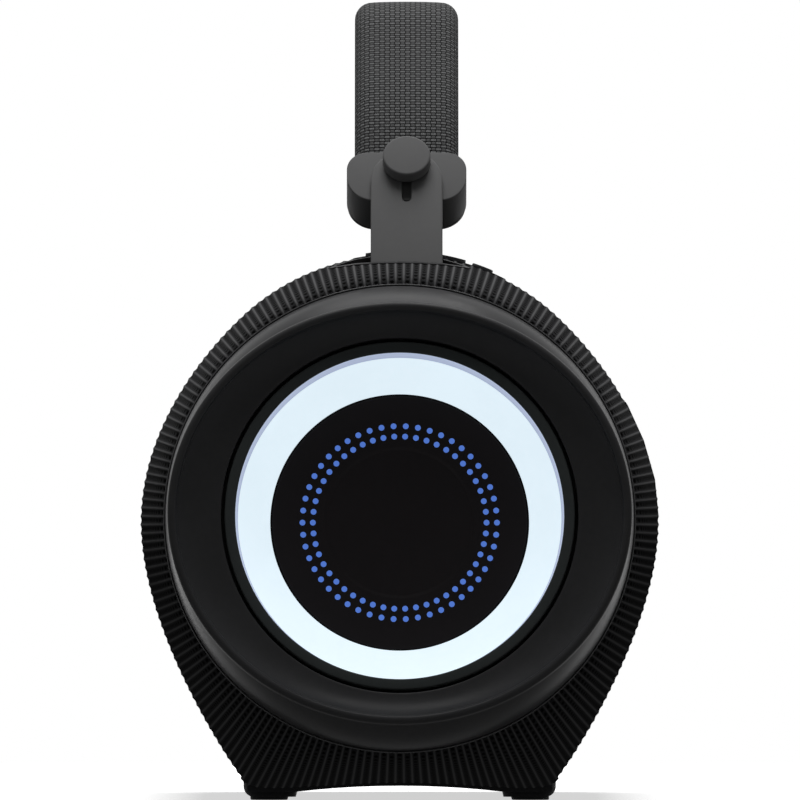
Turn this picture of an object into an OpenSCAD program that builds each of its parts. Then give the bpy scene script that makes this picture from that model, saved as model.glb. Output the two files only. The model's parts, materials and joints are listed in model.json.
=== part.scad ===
// Portable barrel speaker: a fabric covered drop-shaped barrel on two foot rails, with a glowing
// ring and a passive radiator at each end, two woofers and two tweeters behind the fabric, top
// buttons, a port bay with a flap at the back, and a padded carry strap buttoned to two bars.
// X runs along the barrel, -Y is the front, +Y the back, +Z up. The foot pads rest on z = 0.

/* [Barrel] */
// Length between the centres of the two end openings
body_length = 293; // [285:1:320]
// Greatest width of the barrel, front to back
body_width = 164.8; // [162:0.2:170]
// Height of the top of the barrel above the floor
crown_height = 173.6; // [172:0.1:176]
// Radius of the round top of the barrel
crown_radius = 73.9; // [72:0.1:76]
// Drop of the barrel's widest place below the centre of its ends
belly_drop = 1.3; // [0:0.1:3]
// Width across the lower corners of the barrel
sole_width = 98.3; // [96:0.1:101]
// Height of the underside of the barrel at its middle
sole_height = 5.5; // [5:0.1:6]
// Length over which each end rounds in to its opening
end_rounding = 50; // [44:1:56]
// Thickness of the fabric sleeve with its foam backing
sleeve_t = 1.2; // [1:0.1:1.6]
// Wall of the inner shells
shell_wall = 2.6; // [2.2:0.1:3]

/* [Ends] */
// Radius of the opening in the fabric at each end
end_radius = 74.8; // [74:0.1:76]
// Height of the centre of each end opening above the middle of the barrel
end_lift = 0.15; // [0:0.05:1]
// Angle by which each end face looks upwards
face_tilt = 7; // [5:0.5:8]
// Radius of the crest of the end bezel
crest_radius = 65.8; // [65:0.1:67]
// Height of the crest above the opening
crest_rise = 15.6; // [14:0.1:17]
// Radius of the inner edge of the bezel's dish
dish_radius = 56.5; // [56:0.1:57.5]
// Depth of the dish's inner edge below the crest
dish_depth = 7.2; // [6:0.1:8]
// Width of the groove round the rubber gasket ring
groove_w = 1.1; // [0.8:0.1:1.5]
// Width of the rubber gasket ring
gasket_w = 3.4; // [3:0.1:3.8]
// Depth of the light ring's upright wall
mouth_wall = 6.6; // [5:0.1:8]
// Width of the light ring's cone
cone_w = 11; // [10:0.1:12]
// Depth of the light ring's cone
cone_depth = 9.9; // [8.5:0.1:10.5]
// Width of the bright trim ring between fabric and bezel
trim_w = 0.6; // [0.4:0.1:0.9]

/* [Passive radiators] */
// Gap between the disc's edge and the light ring
disc_gap = 0.6; // [0.4:0.1:1]
// Depth of the disc's face behind the light ring's inner edge
disc_setback = 1.5; // [1:0.1:2]
// Travel of the disc each way
disc_travel = 3; // [2:0.5:3]
// Number of dots in each of the two rings
dot_count = 50; // [30:1:60]
// Diameter of each dot
dot_d = 2; // [1.4:0.1:2.4]
// Radius of the inner ring of dots
dot_ring_radius = 27.5; // [26:0.1:29]
// Distance from the inner ring of dots to the outer one
dot_ring_step = 3.3; // [3:0.1:4]

/* [Strap handle] */
// Height of the top of the strap above the barrel
strap_rise = 80.9; // [76:0.1:88]
// Width of the padded strap
strap_w = 33; // [30:0.5:35]
// Thickness of the padded strap
strap_t = 11.5; // [10:0.1:12]
// Distance of the strap's middle behind the middle of the barrel
strap_shift = 2.2; // [0:0.1:3]
// Lean of the strap's end tabs from upright
tab_lean = 35; // [33:0.5:37]
// Lean of the strap's straight flanks from upright
flank_lean = 52; // [50:0.5:55]
// Radius of the bend between tab and flank
lower_bend = 112; // [100:1:120]
// Radius of the bend between flank and crown
upper_bend = 30; // [26:1:34]
// Width of the rubber tab
tab_w = 22.8; // [21:0.1:24]
// Thickness of the rubber tab
tab_t = 2.3; // [2:0.1:2.5]
// Length of the tab from the bar to its tip
tab_length = 48.5; // [47:0.5:50]
// Wall of the end cap beside the strap
cap_side = 2.5; // [2:0.1:3]
// Length of the end cap along the strap
cap_length = 18.8; // [18:0.1:20]
// Wall of the end cap in front of and behind the strap
cap_wall = 1.7; // [1.4:0.1:2]
// Diameter of the button stud's head
stud_d = 15.2; // [14:0.1:16]
// Height of the stud's head above the tab
stud_rise = 5; // [4:0.1:5.5]
// Radius of the anchor bar
bar_r = 2.5; // [2.2:0.1:2.8]
// Distance of each anchor bar from the centre of its end opening
bar_inset = 27.5; // [26.5:0.1:28.5]
// Depth of the anchor bars below the top of the barrel
bar_depth = 9.6; // [9:0.1:10]
// Half width of the lens-shaped mouth of the anchor pocket
mouth_half_w = 20.9; // [20:0.1:22]
// Half length of the mouth of the anchor pocket
mouth_half_l = 7.5; // [7:0.1:8]

/* [Top buttons] */
// Size of the large play, plus and minus buttons
key_size = 32; // [28:0.5:33]
// Width of the bars of the plus and minus buttons
key_bar = 9; // [7:0.5:10]
// Distance between the large buttons
key_pitch = 46; // [44:0.5:50]
// Diameter of the small round buttons
small_key_d = 7; // [6:0.1:7.5]
// Distance between the small buttons
small_key_pitch = 22; // [18:0.5:26]
// Height of the buttons above the fabric
key_rise = 1.2; // [0.9:0.1:1.5]
// Travel of the buttons
key_travel = 0.8; // [0.6:0.1:1]

/* [Port bay] */
// Half length of the port flap
flap_half = 36; // [32:0.5:40]
// Height of the port flap
flap_h = 36.6; // [34:0.1:38]
// Height of the flap's hinge above the barrel's widest place
hinge_rise = 1.6; // [0.6:0.1:3]
// Thickness of the flap
flap_t = 1.8; // [1.5:0.1:2.2]

/* [Drivers] */
// Radius of the woofer frame
woofer_radius = 42; // [40:0.5:42.5]
// Travel of the woofer cones each way
cone_travel = 3; // [2:0.5:3]
// Depth of the baffle's front face behind the widest place of the fabric
baffle_depth = 22.4; // [22:0.1:24]

/* [Base] */
// How far the base plate reaches under the rounded ends
base_reach = 1.5; // [0:0.1:4]
// Height of the joint between base plate and shells
base_top = 7; // [6.8:0.1:7.4]
// Half width across the outer sides of the foot rails
rail_outer = 49.7; // [49:0.1:50]
// Half width across the inner sides of the foot rails
rail_inner = 33; // [31:0.1:35]
// Thickness of the foot pads below the rails
pad_drop = 1; // [0.8:0.1:1.3]

/* [Hidden] */
$fn = 96;

eps = 0.01;
fit_gap = 0.2;       // gap between pieces that are pushed together
run_gap = 0.1;       // radial gap of a hole that turns or slides on a pin
overcut = 20;        // how far a cutting tool runs past what it cuts

// heights and widths that the pieces share
end_height = (crown_height + sole_height) / 2 + end_lift;
belly_height = end_height - belly_drop;
overall_height = crown_height + strap_rise;
end_x = body_length / 2;
full_x = end_x - end_rounding;            // the full cross-section reaches from -full_x to full_x
bar_x = end_x - bar_inset;
bar_z = crown_height - bar_depth;
base_half = full_x + base_reach;
gasket_radius = dish_radius - groove_w;
mouth_radius = gasket_radius - gasket_w;
cone_radius = mouth_radius - cone_w;

// ---- outline of the barrel's cross-section, in Y and Z --------------------------------------

crown_angle = 38;    // half angle of the round top
crown_pull = 8.4;    // lengths of the curve handles of the outline
belly_pull_up = 36.8;
belly_pull_down = 35;
sole_pull = 7.2;
sole_lean = 40;      // angle of the lower corner from upright
corner_pull = 5;
sole_flat = 22;

function curve_point(p, t) =
    pow(1 - t, 3) * p[0] + 3 * pow(1 - t, 2) * t * p[1] + 3 * (1 - t) * t * t * p[2] + pow(t, 3) * p[3];
function curve(p, n) = [for (i = [1:n]) curve_point(p, i / n)];

crown_centre = crown_height - crown_radius;
crown_end = [crown_radius * sin(crown_angle), crown_centre + crown_radius * cos(crown_angle)];
belly = [body_width / 2, belly_height];
sole_corner = [sole_width / 2, sole_height];
sole_dir = [sin(sole_lean), cos(sole_lean)];

crown_half = [for (i = [0:7]) let (a = crown_angle * i / 7)
    [crown_radius * sin(a), crown_centre + crown_radius * cos(a)]];
upper_half = curve([crown_end, crown_end + crown_pull * [cos(crown_angle), -sin(crown_angle)],
                    belly + [0, belly_pull_up], belly], 8);
lower_half = curve([belly, belly - [0, belly_pull_down],
                    sole_corner + sole_pull * sole_dir, sole_corner], 8);
under_half = curve([sole_corner, sole_corner - corner_pull * sole_dir,
                    [sole_flat, sole_height], [0, sole_height]], 5);
right_half = concat(crown_half, upper_half, lower_half, under_half);
last = len(right_half) - 1;
// the whole outline, clockwise from the top
outline = concat(right_half, [for (i = [last - 1:-1:1]) [-right_half[i][0], right_half[i][1]]]);
side_count = len(outline);

// the outline moved inwards by a distance, point by point along its own normal
function inset_outline(d) = [for (i = [0:side_count - 1])
    let (before = outline[(i + side_count - 1) % side_count],
         after = outline[(i + 1) % side_count],
         run = (after - before) / norm(after - before))
    outline[i] + d * [run[1], -run[0]]];

// ---- barrel solid ---------------------------------------------------------------------------

round_steps = 7;
axis_out = [cos(face_tilt), 0, sin(face_tilt)];
axis_up = [-sin(face_tilt), 0, cos(face_tilt)];

// a point of the end opening's circle, in line with a point of the outline
function end_point(p, d) =
    let (a = atan2(p[1] - end_height, p[0]))
    [end_x, 0, end_height] + end_radius * (cos(a) * [0, 1, 0] + sin(a) * axis_up) - d * axis_out;
// one ring of the barrel: a = 0 is the end circle, a = 90 the full cross-section
function barrel_ring(a, d) =
    [for (p = inset_outline(d)) let (e = end_point(p, d))
        [e[0] + (full_x - e[0]) * (1 - cos(a)),
         e[1] + (p[0] - e[1]) * sin(a),
         e[2] + (p[1] - e[2]) * sin(a)]];
function mirrored(ring) = [for (p = ring) [-p[0], p[1], p[2]]];

// a closed solid through rings of points, all in the same order
module loft(rings) {
    n = len(rings[0]);
    points = [for (r = rings) for (p = r) p];
    walls = [for (k = [0:len(rings) - 2]) for (i = [0:n - 1]) let (j = (i + 1) % n)
        each [[k * n + i, (k + 1) * n + i, (k + 1) * n + j], [k * n + i, (k + 1) * n + j, k * n + j]]];
    caps = [[for (i = [0:n - 1]) i], [for (i = [n - 1:-1:0]) (len(rings) - 1) * n + i]];
    polyhedron(points = points, faces = concat(walls, caps), convexity = 6);
}
// the barrel as one solid, moved inwards by d all round
module barrel(d) {
    right = [for (i = [0:round_steps]) barrel_ring(90 * i / round_steps, d)];
    left = [for (i = [round_steps:-1:0]) mirrored(right[i])];
    loft(concat(right, left));
}

// the right end of the barrel alone, from its full cross-section outwards
module barrel_end(d) {
    loft([for (i = [0:round_steps]) barrel_ring(90 * i / round_steps, d)]);
}

// ---- placing helpers ------------------------------------------------------------------------

// children on the axis of an end opening: z points out of the barrel, -x up
module at_end(side) {
    mirror([side < 0 ? 1 : 0, 0, 0])
        translate([end_x, 0, end_height])
            rotate([0, 90 - face_tilt, 0])
                children();
}
// children on an anchor bar: z runs up the tab, x points outwards from it
module at_leg(side) {
    mirror([side < 0 ? 1 : 0, 0, 0])
        translate([bar_x, strap_shift, bar_z])
            rotate([0, -tab_lean, 0])
                children();
}
// children drawn in Y and Z and extruded along X
module along_x(length) {
    rotate([90, 0, 90])
        linear_extrude(height = length, center = true)
            children();
}
module box(low, high) {
    translate(low)
        cube(high - low);
}
// a rod along Y between two places
module rod_y(x, z, y0, y1, r) {
    translate([x, y0, z])
        rotate([-90, 0, 0])
            cylinder(h = y1 - y0, r = r);
}
// a flat plate outline with its own radius at the upper and the lower corners
module plate_2d(w, h, r_up, r_low) {
    translate([-w / 2, r_low])
        square([w, h - r_up - r_low]);
    translate([-w / 2 + r_up, h - r_up - eps])
        square([w - 2 * r_up, r_up + eps]);
    translate([-w / 2 + r_low, 0])
        square([w - 2 * r_low, r_low + eps]);
    for (s = [-1, 1]) {
        translate([s * (w / 2 - r_up), h - r_up])
            circle(r = r_up);
        translate([s * (w / 2 - r_low), r_low])
            circle(r = r_low);
    }
}
// a revolved ring with a square section
module ring(r_in, r_out, z_low, z_high) {
    translate([0, 0, z_low])
        difference() {
            cylinder(h = z_high - z_low, r = r_out);
            translate([0, 0, -1])
                cylinder(h = z_high - z_low + 2, r = r_in);
        }
}

// ---- cut-outs shared by the sleeve and the shells ----------------------------------------------

lens_wall = 1.8;
function lens_radius(l, w) = (l * l + w * w) / (2 * l);
module lens_2d(half_l, half_w) {
    r = lens_radius(half_l, half_w);
    intersection() {
        translate([r - half_l, 0])
            circle(r = r);
        translate([half_l - r, 0])
            circle(r = r);
    }
}
tab_ring_r = bar_r + run_gap + tab_t;     // outer radius of the tab's loop round the bar
loop_room = 1.2;
loop_half = 17;                           // half length of the room for the loop
housing_half = loop_half + 2.2;
pocket_wall = 1.4;
housing_rise = 2.6;                       // how far the housing reaches above the bar's middle
housing_r = tab_ring_r + loop_room + pocket_wall;
lens_x = bar_x - 2.1;                     // middle of the pocket's mouth
pocket_floor = bar_z - housing_r;

module pocket_form(gap) {
    translate([lens_x, 0, pocket_floor - gap])
        linear_extrude(height = overcut)
            lens_2d(mouth_half_l + lens_wall + gap, mouth_half_w + lens_wall + gap);
    box([bar_x - housing_r - gap, -housing_half - gap, pocket_floor - gap],
        [bar_x + housing_r + gap, housing_half + gap, bar_z + housing_rise + gap]);
}
module both_pockets(gap) {
    for (s = [0, 1])
        mirror([s, 0, 0])
            pocket_form(gap);
}

panel_depth = 8;
panel_proud = 0.25;
panel_corner = 6;
panel_margin = 4;
panel_half_l = key_pitch + key_size / 2 + panel_margin;
key_angle = 4;                            // angle of the large buttons from the top
key_y = crown_radius * sin(key_angle);
key_gap = 1.6;                            // wall between the large and the small buttons
small_key_y = key_y + key_size / 2 + key_gap + small_key_d / 2;
small_key_angle = asin(small_key_y / crown_radius);
panel_low_y = key_y - key_size / 2 - panel_margin;
panel_high_y = small_key_y + small_key_d / 2 + panel_margin;
module panel_form(gap) {
    translate([0, panel_low_y - gap, crown_height - overcut])
        linear_extrude(height = 2 * overcut)
            plate_2d(2 * (panel_half_l + gap), panel_high_y - panel_low_y + 2 * gap,
                     panel_corner, panel_corner);
}
// a slice of the round top between two depths, both counted inwards from the fabric
module crown_slice(deep, high) {
    translate([0, 0, crown_centre])
        rotate([90, 0, 90])
            translate([0, 0, -body_length / 2])
                difference() {
                    cylinder(h = body_length, r = crown_radius - high, $fn = 180);
                    translate([0, 0, -1])
                        cylinder(h = body_length + 2, r = crown_radius - deep, $fn = 180);
                }
}

hinge_r = 1;
barrel_r = 2.1;
hinge_y = body_width / 2 - 3;
hinge_z = belly_height + hinge_rise;
flap_top = hinge_z + flap_h;
bay_depth = 20.4;                         // depth of the bay's floor behind the widest place
bay_floor = body_width / 2 - bay_depth;
bay_back = bay_floor - 16;                // distance of the port panel's back from the middle
bay_wall = 3;
bay_low = hinge_z - 9;
bay_high = flap_top + bay_wall;
bay_half = flap_half + bay_wall;
flap_proud = 0.5;
flap_low_gap = 5;                         // height of the gap below the hinge

module flap_window(gap) {
    box([-flap_half - gap, bay_floor, hinge_z - flap_low_gap],
        [flap_half + gap, body_width, flap_top + gap]);
}
module bay_form(gap) {
    box([-bay_half - gap, bay_back, bay_low - gap], [bay_half + gap, body_width, bay_high + gap]);
}
module base_cut(gap) {
    box([-base_half - gap, -body_width, -overcut], [base_half + gap, body_width, base_top + gap]);
}
module end_holes(r) {
    for (s = [-1, 1])
        at_end(s)
            translate([0, 0, -overcut])
                cylinder(h = 2 * overcut, r = r);
}

// ---- fabric and shells ----------------------------------------------------------------------

shell_d = sleeve_t + fit_gap;             // depth of the shells below the fabric's surface
trim_outer = end_radius;
bezel_outer = trim_outer - trim_w;
spigot_r = bezel_outer - 3.5;
flange_top = -shell_d;                    // where the bezel sits on the shells' end flange

module fabric_sleeve() color([0.17, 0.17, 0.18]) {
    difference() {
        barrel(0);
        barrel(sleeve_t);
        end_holes(end_radius + fit_gap);
        both_pockets(fit_gap);
        panel_form(fit_gap);
        flap_window(fit_gap);
        base_cut(fit_gap);
    }
}

// the baffle that carries the drivers
baffle_y = body_width / 2 - baffle_depth;
baffle_t = 4;
baffle_half = end_x - 32.5;
baffle_low = belly_height - 44.4;
baffle_high = belly_height + 43.6;
driver_margin = 4;
woofer_x = baffle_half - woofer_radius - driver_margin;
woofer_hole = woofer_radius - 4;
tweeter_rise = 26;                        // distance of the tweeters above and below the woofers' line
tweeter_r = 12;
tweeter_body_r = tweeter_r - 1.5;
post_r = 2.6;
post_edge = 6;                            // distance of the posts from the baffle's edges
post_x = baffle_half - post_edge;
post_heights = [baffle_low + post_edge, baffle_high - post_edge];
rail_half = base_half - 8;
screw_x = [for (i = [-1:1]) i * (rail_half - 10)];
screw_y = 43;
screw_r = 1.5;
screw_head_r = 2.8;
screw_head_t = 1.8;
screw_seat = 5;
boss_r = 5;
boss_top = 17;

// one inner shell: side -1 is the front half, 1 the rear half
module shell_half(side) {
    difference() {
        union() {
            difference() {
                barrel(shell_d);
                barrel(shell_d + shell_wall);
                base_cut(fit_gap / 2);
            }
            for (x = screw_x)
                translate([x, side * screw_y, base_top + fit_gap / 2])
                    cylinder(h = boss_top - base_top, r = boss_r);
        }
        end_holes(spigot_r + fit_gap);
        both_pockets(fit_gap / 2);
        // room for the tab's loop as the strap slides along the bar
        for (s = [-1, 1])
            rod_y(s * bar_x, bar_z, -loop_half, loop_half, tab_ring_r + loop_room);
        panel_form(fit_gap);
        for (x = screw_x)
            translate([x, side * screw_y, 0])
                cylinder(h = boss_top - 2, r = screw_r + run_gap / 2);
        box([-body_length, side > 0 ? -body_width : -fit_gap / 4, -1],
            [body_length, side > 0 ? fit_gap / 4 : body_width, overall_height]);
    }
}
// distance of the middle of the shell's wall from the middle plane, at a height
function wall_middle(z) =
    lookup(z, [for (p = concat(upper_half, lower_half)) [p[1], p[0]]]) - shell_d - shell_wall / 2;
module shell_front() color([0.12, 0.12, 0.13]) {
    difference() {
        shell_half(-1);
        // sound windows in front of the drivers
        for (s = [-1, 1])
            rod_y(s * woofer_x, belly_height, -body_width, -baffle_y + 1, woofer_radius - 5);
        for (s = [-1, 1])
            rod_y(0, belly_height + s * tweeter_rise, -body_width, -baffle_y + 1, tweeter_body_r);
    }
    // posts that carry the driver baffle
    for (s = [-1, 1])
        for (z = post_heights)
            rod_y(s * post_x, z, -wall_middle(z), -baffle_y, post_r);
}
module shell_rear() color([0.12, 0.12, 0.13]) {
    difference() {
        shell_half(1);
        bay_form(fit_gap / 2);
    }
}

// ---- base, feet and screws ------------------------------------------------------------------

base_proud = 0.2;                         // how far the base plate stands proud of the fabric
base_low = 2.7;                           // underside of the base plate above the rails
arch_rise = 1.9;                          // rise of the arch between the foot rails
arch_r = (rail_inner * rail_inner + arch_rise * arch_rise) / (2 * arch_rise);
lip_t = 1.3;                              // outer wall of the rails, beside the base plate
lip_top = 6.2;
base_corner = rail_outer - lip_t;
sole_edge = sole_width / 2 + base_proud;
base_edge = sole_edge + (base_top - sole_height) * tan(sole_lean);
// end view of the base plate: the barrel's lower corners above, a shallow arch below
module base_2d() {
    difference() {
        polygon([[-base_corner, base_low], [-base_corner, sole_height], [-sole_edge, sole_height],
                 [-base_edge, base_top], [base_edge, base_top], [sole_edge, sole_height],
                 [base_corner, sole_height], [base_corner, base_low]]);
        translate([0, base_low + arch_rise - arch_r])
            circle(r = arch_r, $fn = 720);
    }
}
module base_plate() color([0.09, 0.09, 0.1]) {
    difference() {
        along_x(2 * base_half)
            base_2d();
        for (x = screw_x)
            for (s = [-1, 1])
                translate([x, s * screw_y, 0]) {
                    cylinder(h = base_top + 1, r = screw_r + run_gap);
                    cylinder(h = screw_seat, r = screw_head_r + fit_gap);
                }
    }
}
rail_low = pad_drop;
rail_r = 3.4;
pad_inner = rail_inner + 2.6;
pad_seat = 0.8;
pad_side = 2.2;
rail_end_r = 7;
// outline of a rail seen from below, with round ends
module rail_plan(low, high, half, r) {
    translate([0, low])
        plate_2d(2 * half, high - low, r, r);
}
module foot_rail(side) color([0.1, 0.1, 0.11]) {
    difference() {
        mirror([0, side < 0 ? 1 : 0, 0])
            intersection() {
                // end view: a rounded outer corner, hollowed to fit the base plate
                along_x(2 * rail_half)
                    difference() {
                        translate([rail_inner, rail_low])
                            square([rail_outer - rail_inner, lip_top - rail_low]);
                        base_2d();
                        translate([rail_outer - rail_r, rail_low - rail_r])
                            difference() {
                                square([rail_r + 1, 2 * rail_r]);
                                translate([0, 2 * rail_r])
                                    circle(r = rail_r);
                            }
                    }
                linear_extrude(height = base_top)
                    rail_plan(rail_inner, rail_outer, rail_half, rail_end_r);
            }
        pad_form(side, fit_gap / 2);
    }
}
module pad_form(side, gap) {
    mirror([0, side < 0 ? 1 : 0, 0])
        linear_extrude(height = rail_low + pad_seat + gap)
            rail_plan(pad_inner - gap, rail_outer - pad_side + gap, rail_half - pad_side + gap,
                      rail_end_r - pad_side / 2);
}
module foot_pad(side) color([0.06, 0.06, 0.06]) {
    pad_form(side, 0);
}
module base_screws() color([0.6, 0.6, 0.62]) {
    for (x = screw_x)
        for (s = [-1, 1])
            translate([x, s * screw_y, screw_seat - screw_head_t]) {
                difference() {
                    cylinder(h = screw_head_t, r = screw_head_r);
                    translate([0, 0, -1])
                        cylinder(h = 1 + screw_head_t / 2, r = screw_r * 0.8, $fn = 6);
                }
                cylinder(h = boss_top - screw_seat - 3, r = screw_r);
            }
}

// ---- end rings: profiles of radius and height on the end axis ----------------------------------

dish_edge = crest_rise - dish_depth;      // height of the dish's inner edge
crest_r = 1.5;
shoulder_bulge = 1.1;                     // how far the shoulder bows outwards
bezel_wall = 2.6;
spigot_wall = 3;
spigot_depth = 6;
shoulder_steps = 8;
dish_steps = 6;

// points of an arc-like line from p to q that bows by a distance to its left
function bowed(p, q, bow, n) =
    [for (i = [0:n]) let (t = i / n, along = (q - p) / norm(q - p))
        p + (q - p) * t + [-along[1], along[0]] * bow * 4 * t * (1 - t)];

module end_bezel(side) color([0.09, 0.09, 0.1])
    at_end(side)
        rotate_extrude($fn = 180)
            polygon(concat(
                [[bezel_outer, flange_top]],
                bowed([bezel_outer, 0], [crest_radius + crest_r, crest_rise - crest_r],
                      -shoulder_bulge, shoulder_steps),
                [for (a = [30, 60, 90, 120, 150])
                    [crest_radius + crest_r * cos(a), crest_rise - crest_r + crest_r * sin(a)]],
                bowed([crest_radius - crest_r, crest_rise - crest_r - 0.8], [dish_radius, dish_edge],
                      0.9, dish_steps),
                [[dish_radius, flange_top], [dish_radius + bezel_wall, flange_top],
                 [dish_radius + bezel_wall, dish_edge - bezel_wall],
                 [crest_radius, crest_rise - 2 * bezel_wall],
                 [spigot_r - spigot_wall, crest_rise - 3 * bezel_wall],
                 [spigot_r - spigot_wall, flange_top - spigot_depth],
                 [spigot_r, flange_top - spigot_depth], [spigot_r, flange_top]]));

module trim_ring(side) color([0.75, 0.76, 0.78])
    at_end(side)
        ring(bezel_outer + 0.05, trim_outer, flange_top, 0.5);

gasket_top = dish_edge - 0.5;
gasket_skirt = 1.8;
gasket_lip = 0.9;
module gasket_ring(side) color([0.05, 0.06, 0.06])
    at_end(side)
        rotate_extrude($fn = 180)
            polygon([[gasket_radius, flange_top], [gasket_radius, gasket_top - 0.4],
                     [gasket_radius - 0.4, gasket_top], [mouth_radius + 0.4, gasket_top],
                     [mouth_radius, gasket_top - 0.4], [mouth_radius, gasket_top - gasket_lip],
                     [gasket_radius - gasket_skirt, gasket_top - gasket_lip],
                     [gasket_radius - gasket_skirt, flange_top]]);

light_top = gasket_top - gasket_lip;
cone_top = light_top - mouth_wall;
cone_low = cone_top - cone_depth;
wall_taper = 0.6;
light_wall = 1.9;
light_outer = gasket_radius - gasket_skirt - fit_gap;
module light_ring(side) color([0.9, 0.96, 1])
    at_end(side)
        rotate_extrude($fn = 180)
            polygon([[mouth_radius, light_top], [mouth_radius - wall_taper, cone_top],
                     [cone_radius, cone_low], [cone_radius, cone_low - light_wall],
                     [cone_radius + 0.9, cone_low - light_wall],
                     [mouth_radius - 0.8, flange_top - 1.2], [mouth_radius - 0.8, flange_top],
                     [light_outer, flange_top], [light_outer, light_top]]);

deck_t = 2.8;
frame_outer = spigot_r - spigot_wall - fit_gap;
frame_wall = 3;
board_top = flange_top - 5.6;             // height of the light board's upper face
board_t = 1.6;
board_in = cone_radius + 6;
board_out = frame_outer - frame_wall - fit_gap;
led_count = 16;
led_w = 2.4;
led_h = 1.2;
disc_face = cone_low - disc_setback;
disc_r = cone_radius - disc_gap;
disc_flange_r = cone_radius + 2;
disc_flange_t = 1.6;
disc_back = disc_face - disc_travel - disc_flange_t - 1.2;
surround_t = 0.8;
surround_top = disc_back - fit_gap / 2;
roll_in = disc_flange_r + 0.2;
roll_out = roll_in + 7.4;
ledge_low = surround_top - surround_t - 3;
surround_out = roll_out + 4.6;

module led_board(side) color([0.1, 0.35, 0.2])
    at_end(side) {
        ring(board_in, board_out, board_top - board_t, board_top);
        for (i = [0:led_count - 1])
            rotate([0, 0, 360 * i / led_count])
                translate([board_in + 2, -led_w / 2, board_top])
                    cube([led_w, led_w, led_h]);
    }

module radiator_frame(side) color([0.15, 0.15, 0.16])
    at_end(side)
        rotate_extrude($fn = 120)
            polygon([[mouth_radius - 0.4, flange_top], [frame_outer, flange_top],
                     [frame_outer, ledge_low], [roll_out + 0.6, ledge_low],
                     [roll_out + 0.6, surround_top - surround_t],
                     [frame_outer - frame_wall, surround_top - surround_t],
                     [frame_outer - frame_wall, board_top - board_t - 2],
                     [frame_outer - frame_wall - 2.4, board_top - board_t - 1],
                     [frame_outer - frame_wall - 2.4, board_top - board_t],
                     [frame_outer - frame_wall, board_top - board_t],
                     [frame_outer - frame_wall, flange_top - deck_t],
                     [mouth_radius - 0.4, flange_top - deck_t]]);

// half-round rubber roll between two flat flanges
module roll_2d(r_in, r_out, seat, thick, flange_in, flange_out) {
    mid = (r_in + r_out) / 2;
    outer = (r_out - r_in) / 2;
    difference() {
        union() {
            translate([mid, seat - thick])
                circle(r = outer, $fn = 48);
            translate([flange_in, seat - thick])
                square([flange_out - flange_in, thick]);
        }
        translate([mid, seat - thick])
            circle(r = outer - thick, $fn = 48);
        translate([mid - outer - 1, seat - thick - outer - 1])
            square([2 * outer + 2, outer + 1]);
    }
}
module radiator_surround(side) color([0.04, 0.04, 0.04])
    at_end(side)
        rotate_extrude($fn = 120)
            roll_2d(roll_in, roll_out, surround_top, surround_t, disc_r - 2, surround_out);

disc_step_r = dot_ring_radius - 3.4;
disc_step = 0.5;
module radiator_disc(side) color([0.07, 0.06, 0.07])
    at_end(side)
        rotate_extrude($fn = 120)
            polygon([[0, disc_back], [0, disc_face - disc_step], [disc_step_r - 1, disc_face - disc_step],
                     [disc_step_r, disc_face], [disc_r - 0.6, disc_face], [disc_r, disc_face - 0.6],
                     [disc_r, disc_back + disc_flange_t], [disc_flange_r, disc_back + disc_flange_t],
                     [disc_flange_r, disc_back]]);

dot_t = 0.15;
module marker_dots(side) color([0.3, 0.45, 0.8])
    at_end(side)
        for (k = [0, 1])
            for (i = [0:dot_count - 1])
                rotate([0, 0, 360 * (i + 0.5) / dot_count])
                    translate([dot_ring_radius + k * dot_ring_step, 0, disc_face])
                        cylinder(h = dot_t, r = dot_d / 2, $fn = 24);

// ---- drivers behind the fabric ----------------------------------------------------------------

flange_t = 2.4;
basket_depth = 26;
magnet_r = 24;
magnet_t = 11;
cone_outer = woofer_radius - 9.5;
coil_r = 11;

// children drawn about the Z axis, turned so that z points out through the front
module at_front(x, z) {
    translate([x, -baffle_y, z])
        rotate([90, 0, 0])
            children();
}
module driver_baffle() color([0.2, 0.2, 0.2])
    difference() {
        box([-baffle_half, -baffle_y, baffle_low], [baffle_half, -baffle_y + baffle_t, baffle_high]);
        for (s = [-1, 1]) {
            rod_y(s * woofer_x, belly_height, -baffle_y - 1, -baffle_y + baffle_t + 1, woofer_hole);
            rod_y(0, belly_height + s * tweeter_rise, -baffle_y - 1, -baffle_y + baffle_t + 1,
                  tweeter_body_r + fit_gap);
        }
    }
basket_t = 1.6;
basket_rim = 2;                           // solid wall left above and below the basket's windows
basket_window = 18;
magnet_rim = 2;                           // how far the basket's floor reaches past the magnet
coil_room = 1.5;
module woofer_frame(side) color([0.3, 0.3, 0.32])
    at_front(side * woofer_x, belly_height)
        difference() {
            rotate_extrude()
                polygon([[woofer_hole - basket_t, flange_t], [woofer_radius, flange_t],
                         [woofer_radius, 0], [woofer_hole - fit_gap, 0],
                         [magnet_r + magnet_rim, -basket_depth], [coil_r + coil_room, -basket_depth],
                         [coil_r + coil_room, -basket_depth + basket_rim],
                         [magnet_r + magnet_rim / 2, -basket_depth + basket_rim],
                         [woofer_hole - basket_t, -basket_rim]]);
            // four windows in the basket
            for (a = [45:90:315])
                rotate([0, 0, a])
                    box([magnet_r - 1, -basket_window / 2, -basket_depth + 2 * basket_rim],
                        [woofer_radius, basket_window / 2, -baffle_t - basket_rim]);
        }
pole_gap = 1.2;
pole_rise = 6;
module woofer_magnet(side) color([0.35, 0.33, 0.32])
    at_front(side * woofer_x, belly_height) {
        translate([0, 0, -basket_depth - magnet_t])
            cylinder(h = magnet_t, r = magnet_r);
        // pole piece inside the voice coil
        translate([0, 0, -basket_depth - eps])
            cylinder(h = pole_rise, r = coil_r - pole_gap);
    }
roll_side = 0.3;
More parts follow.
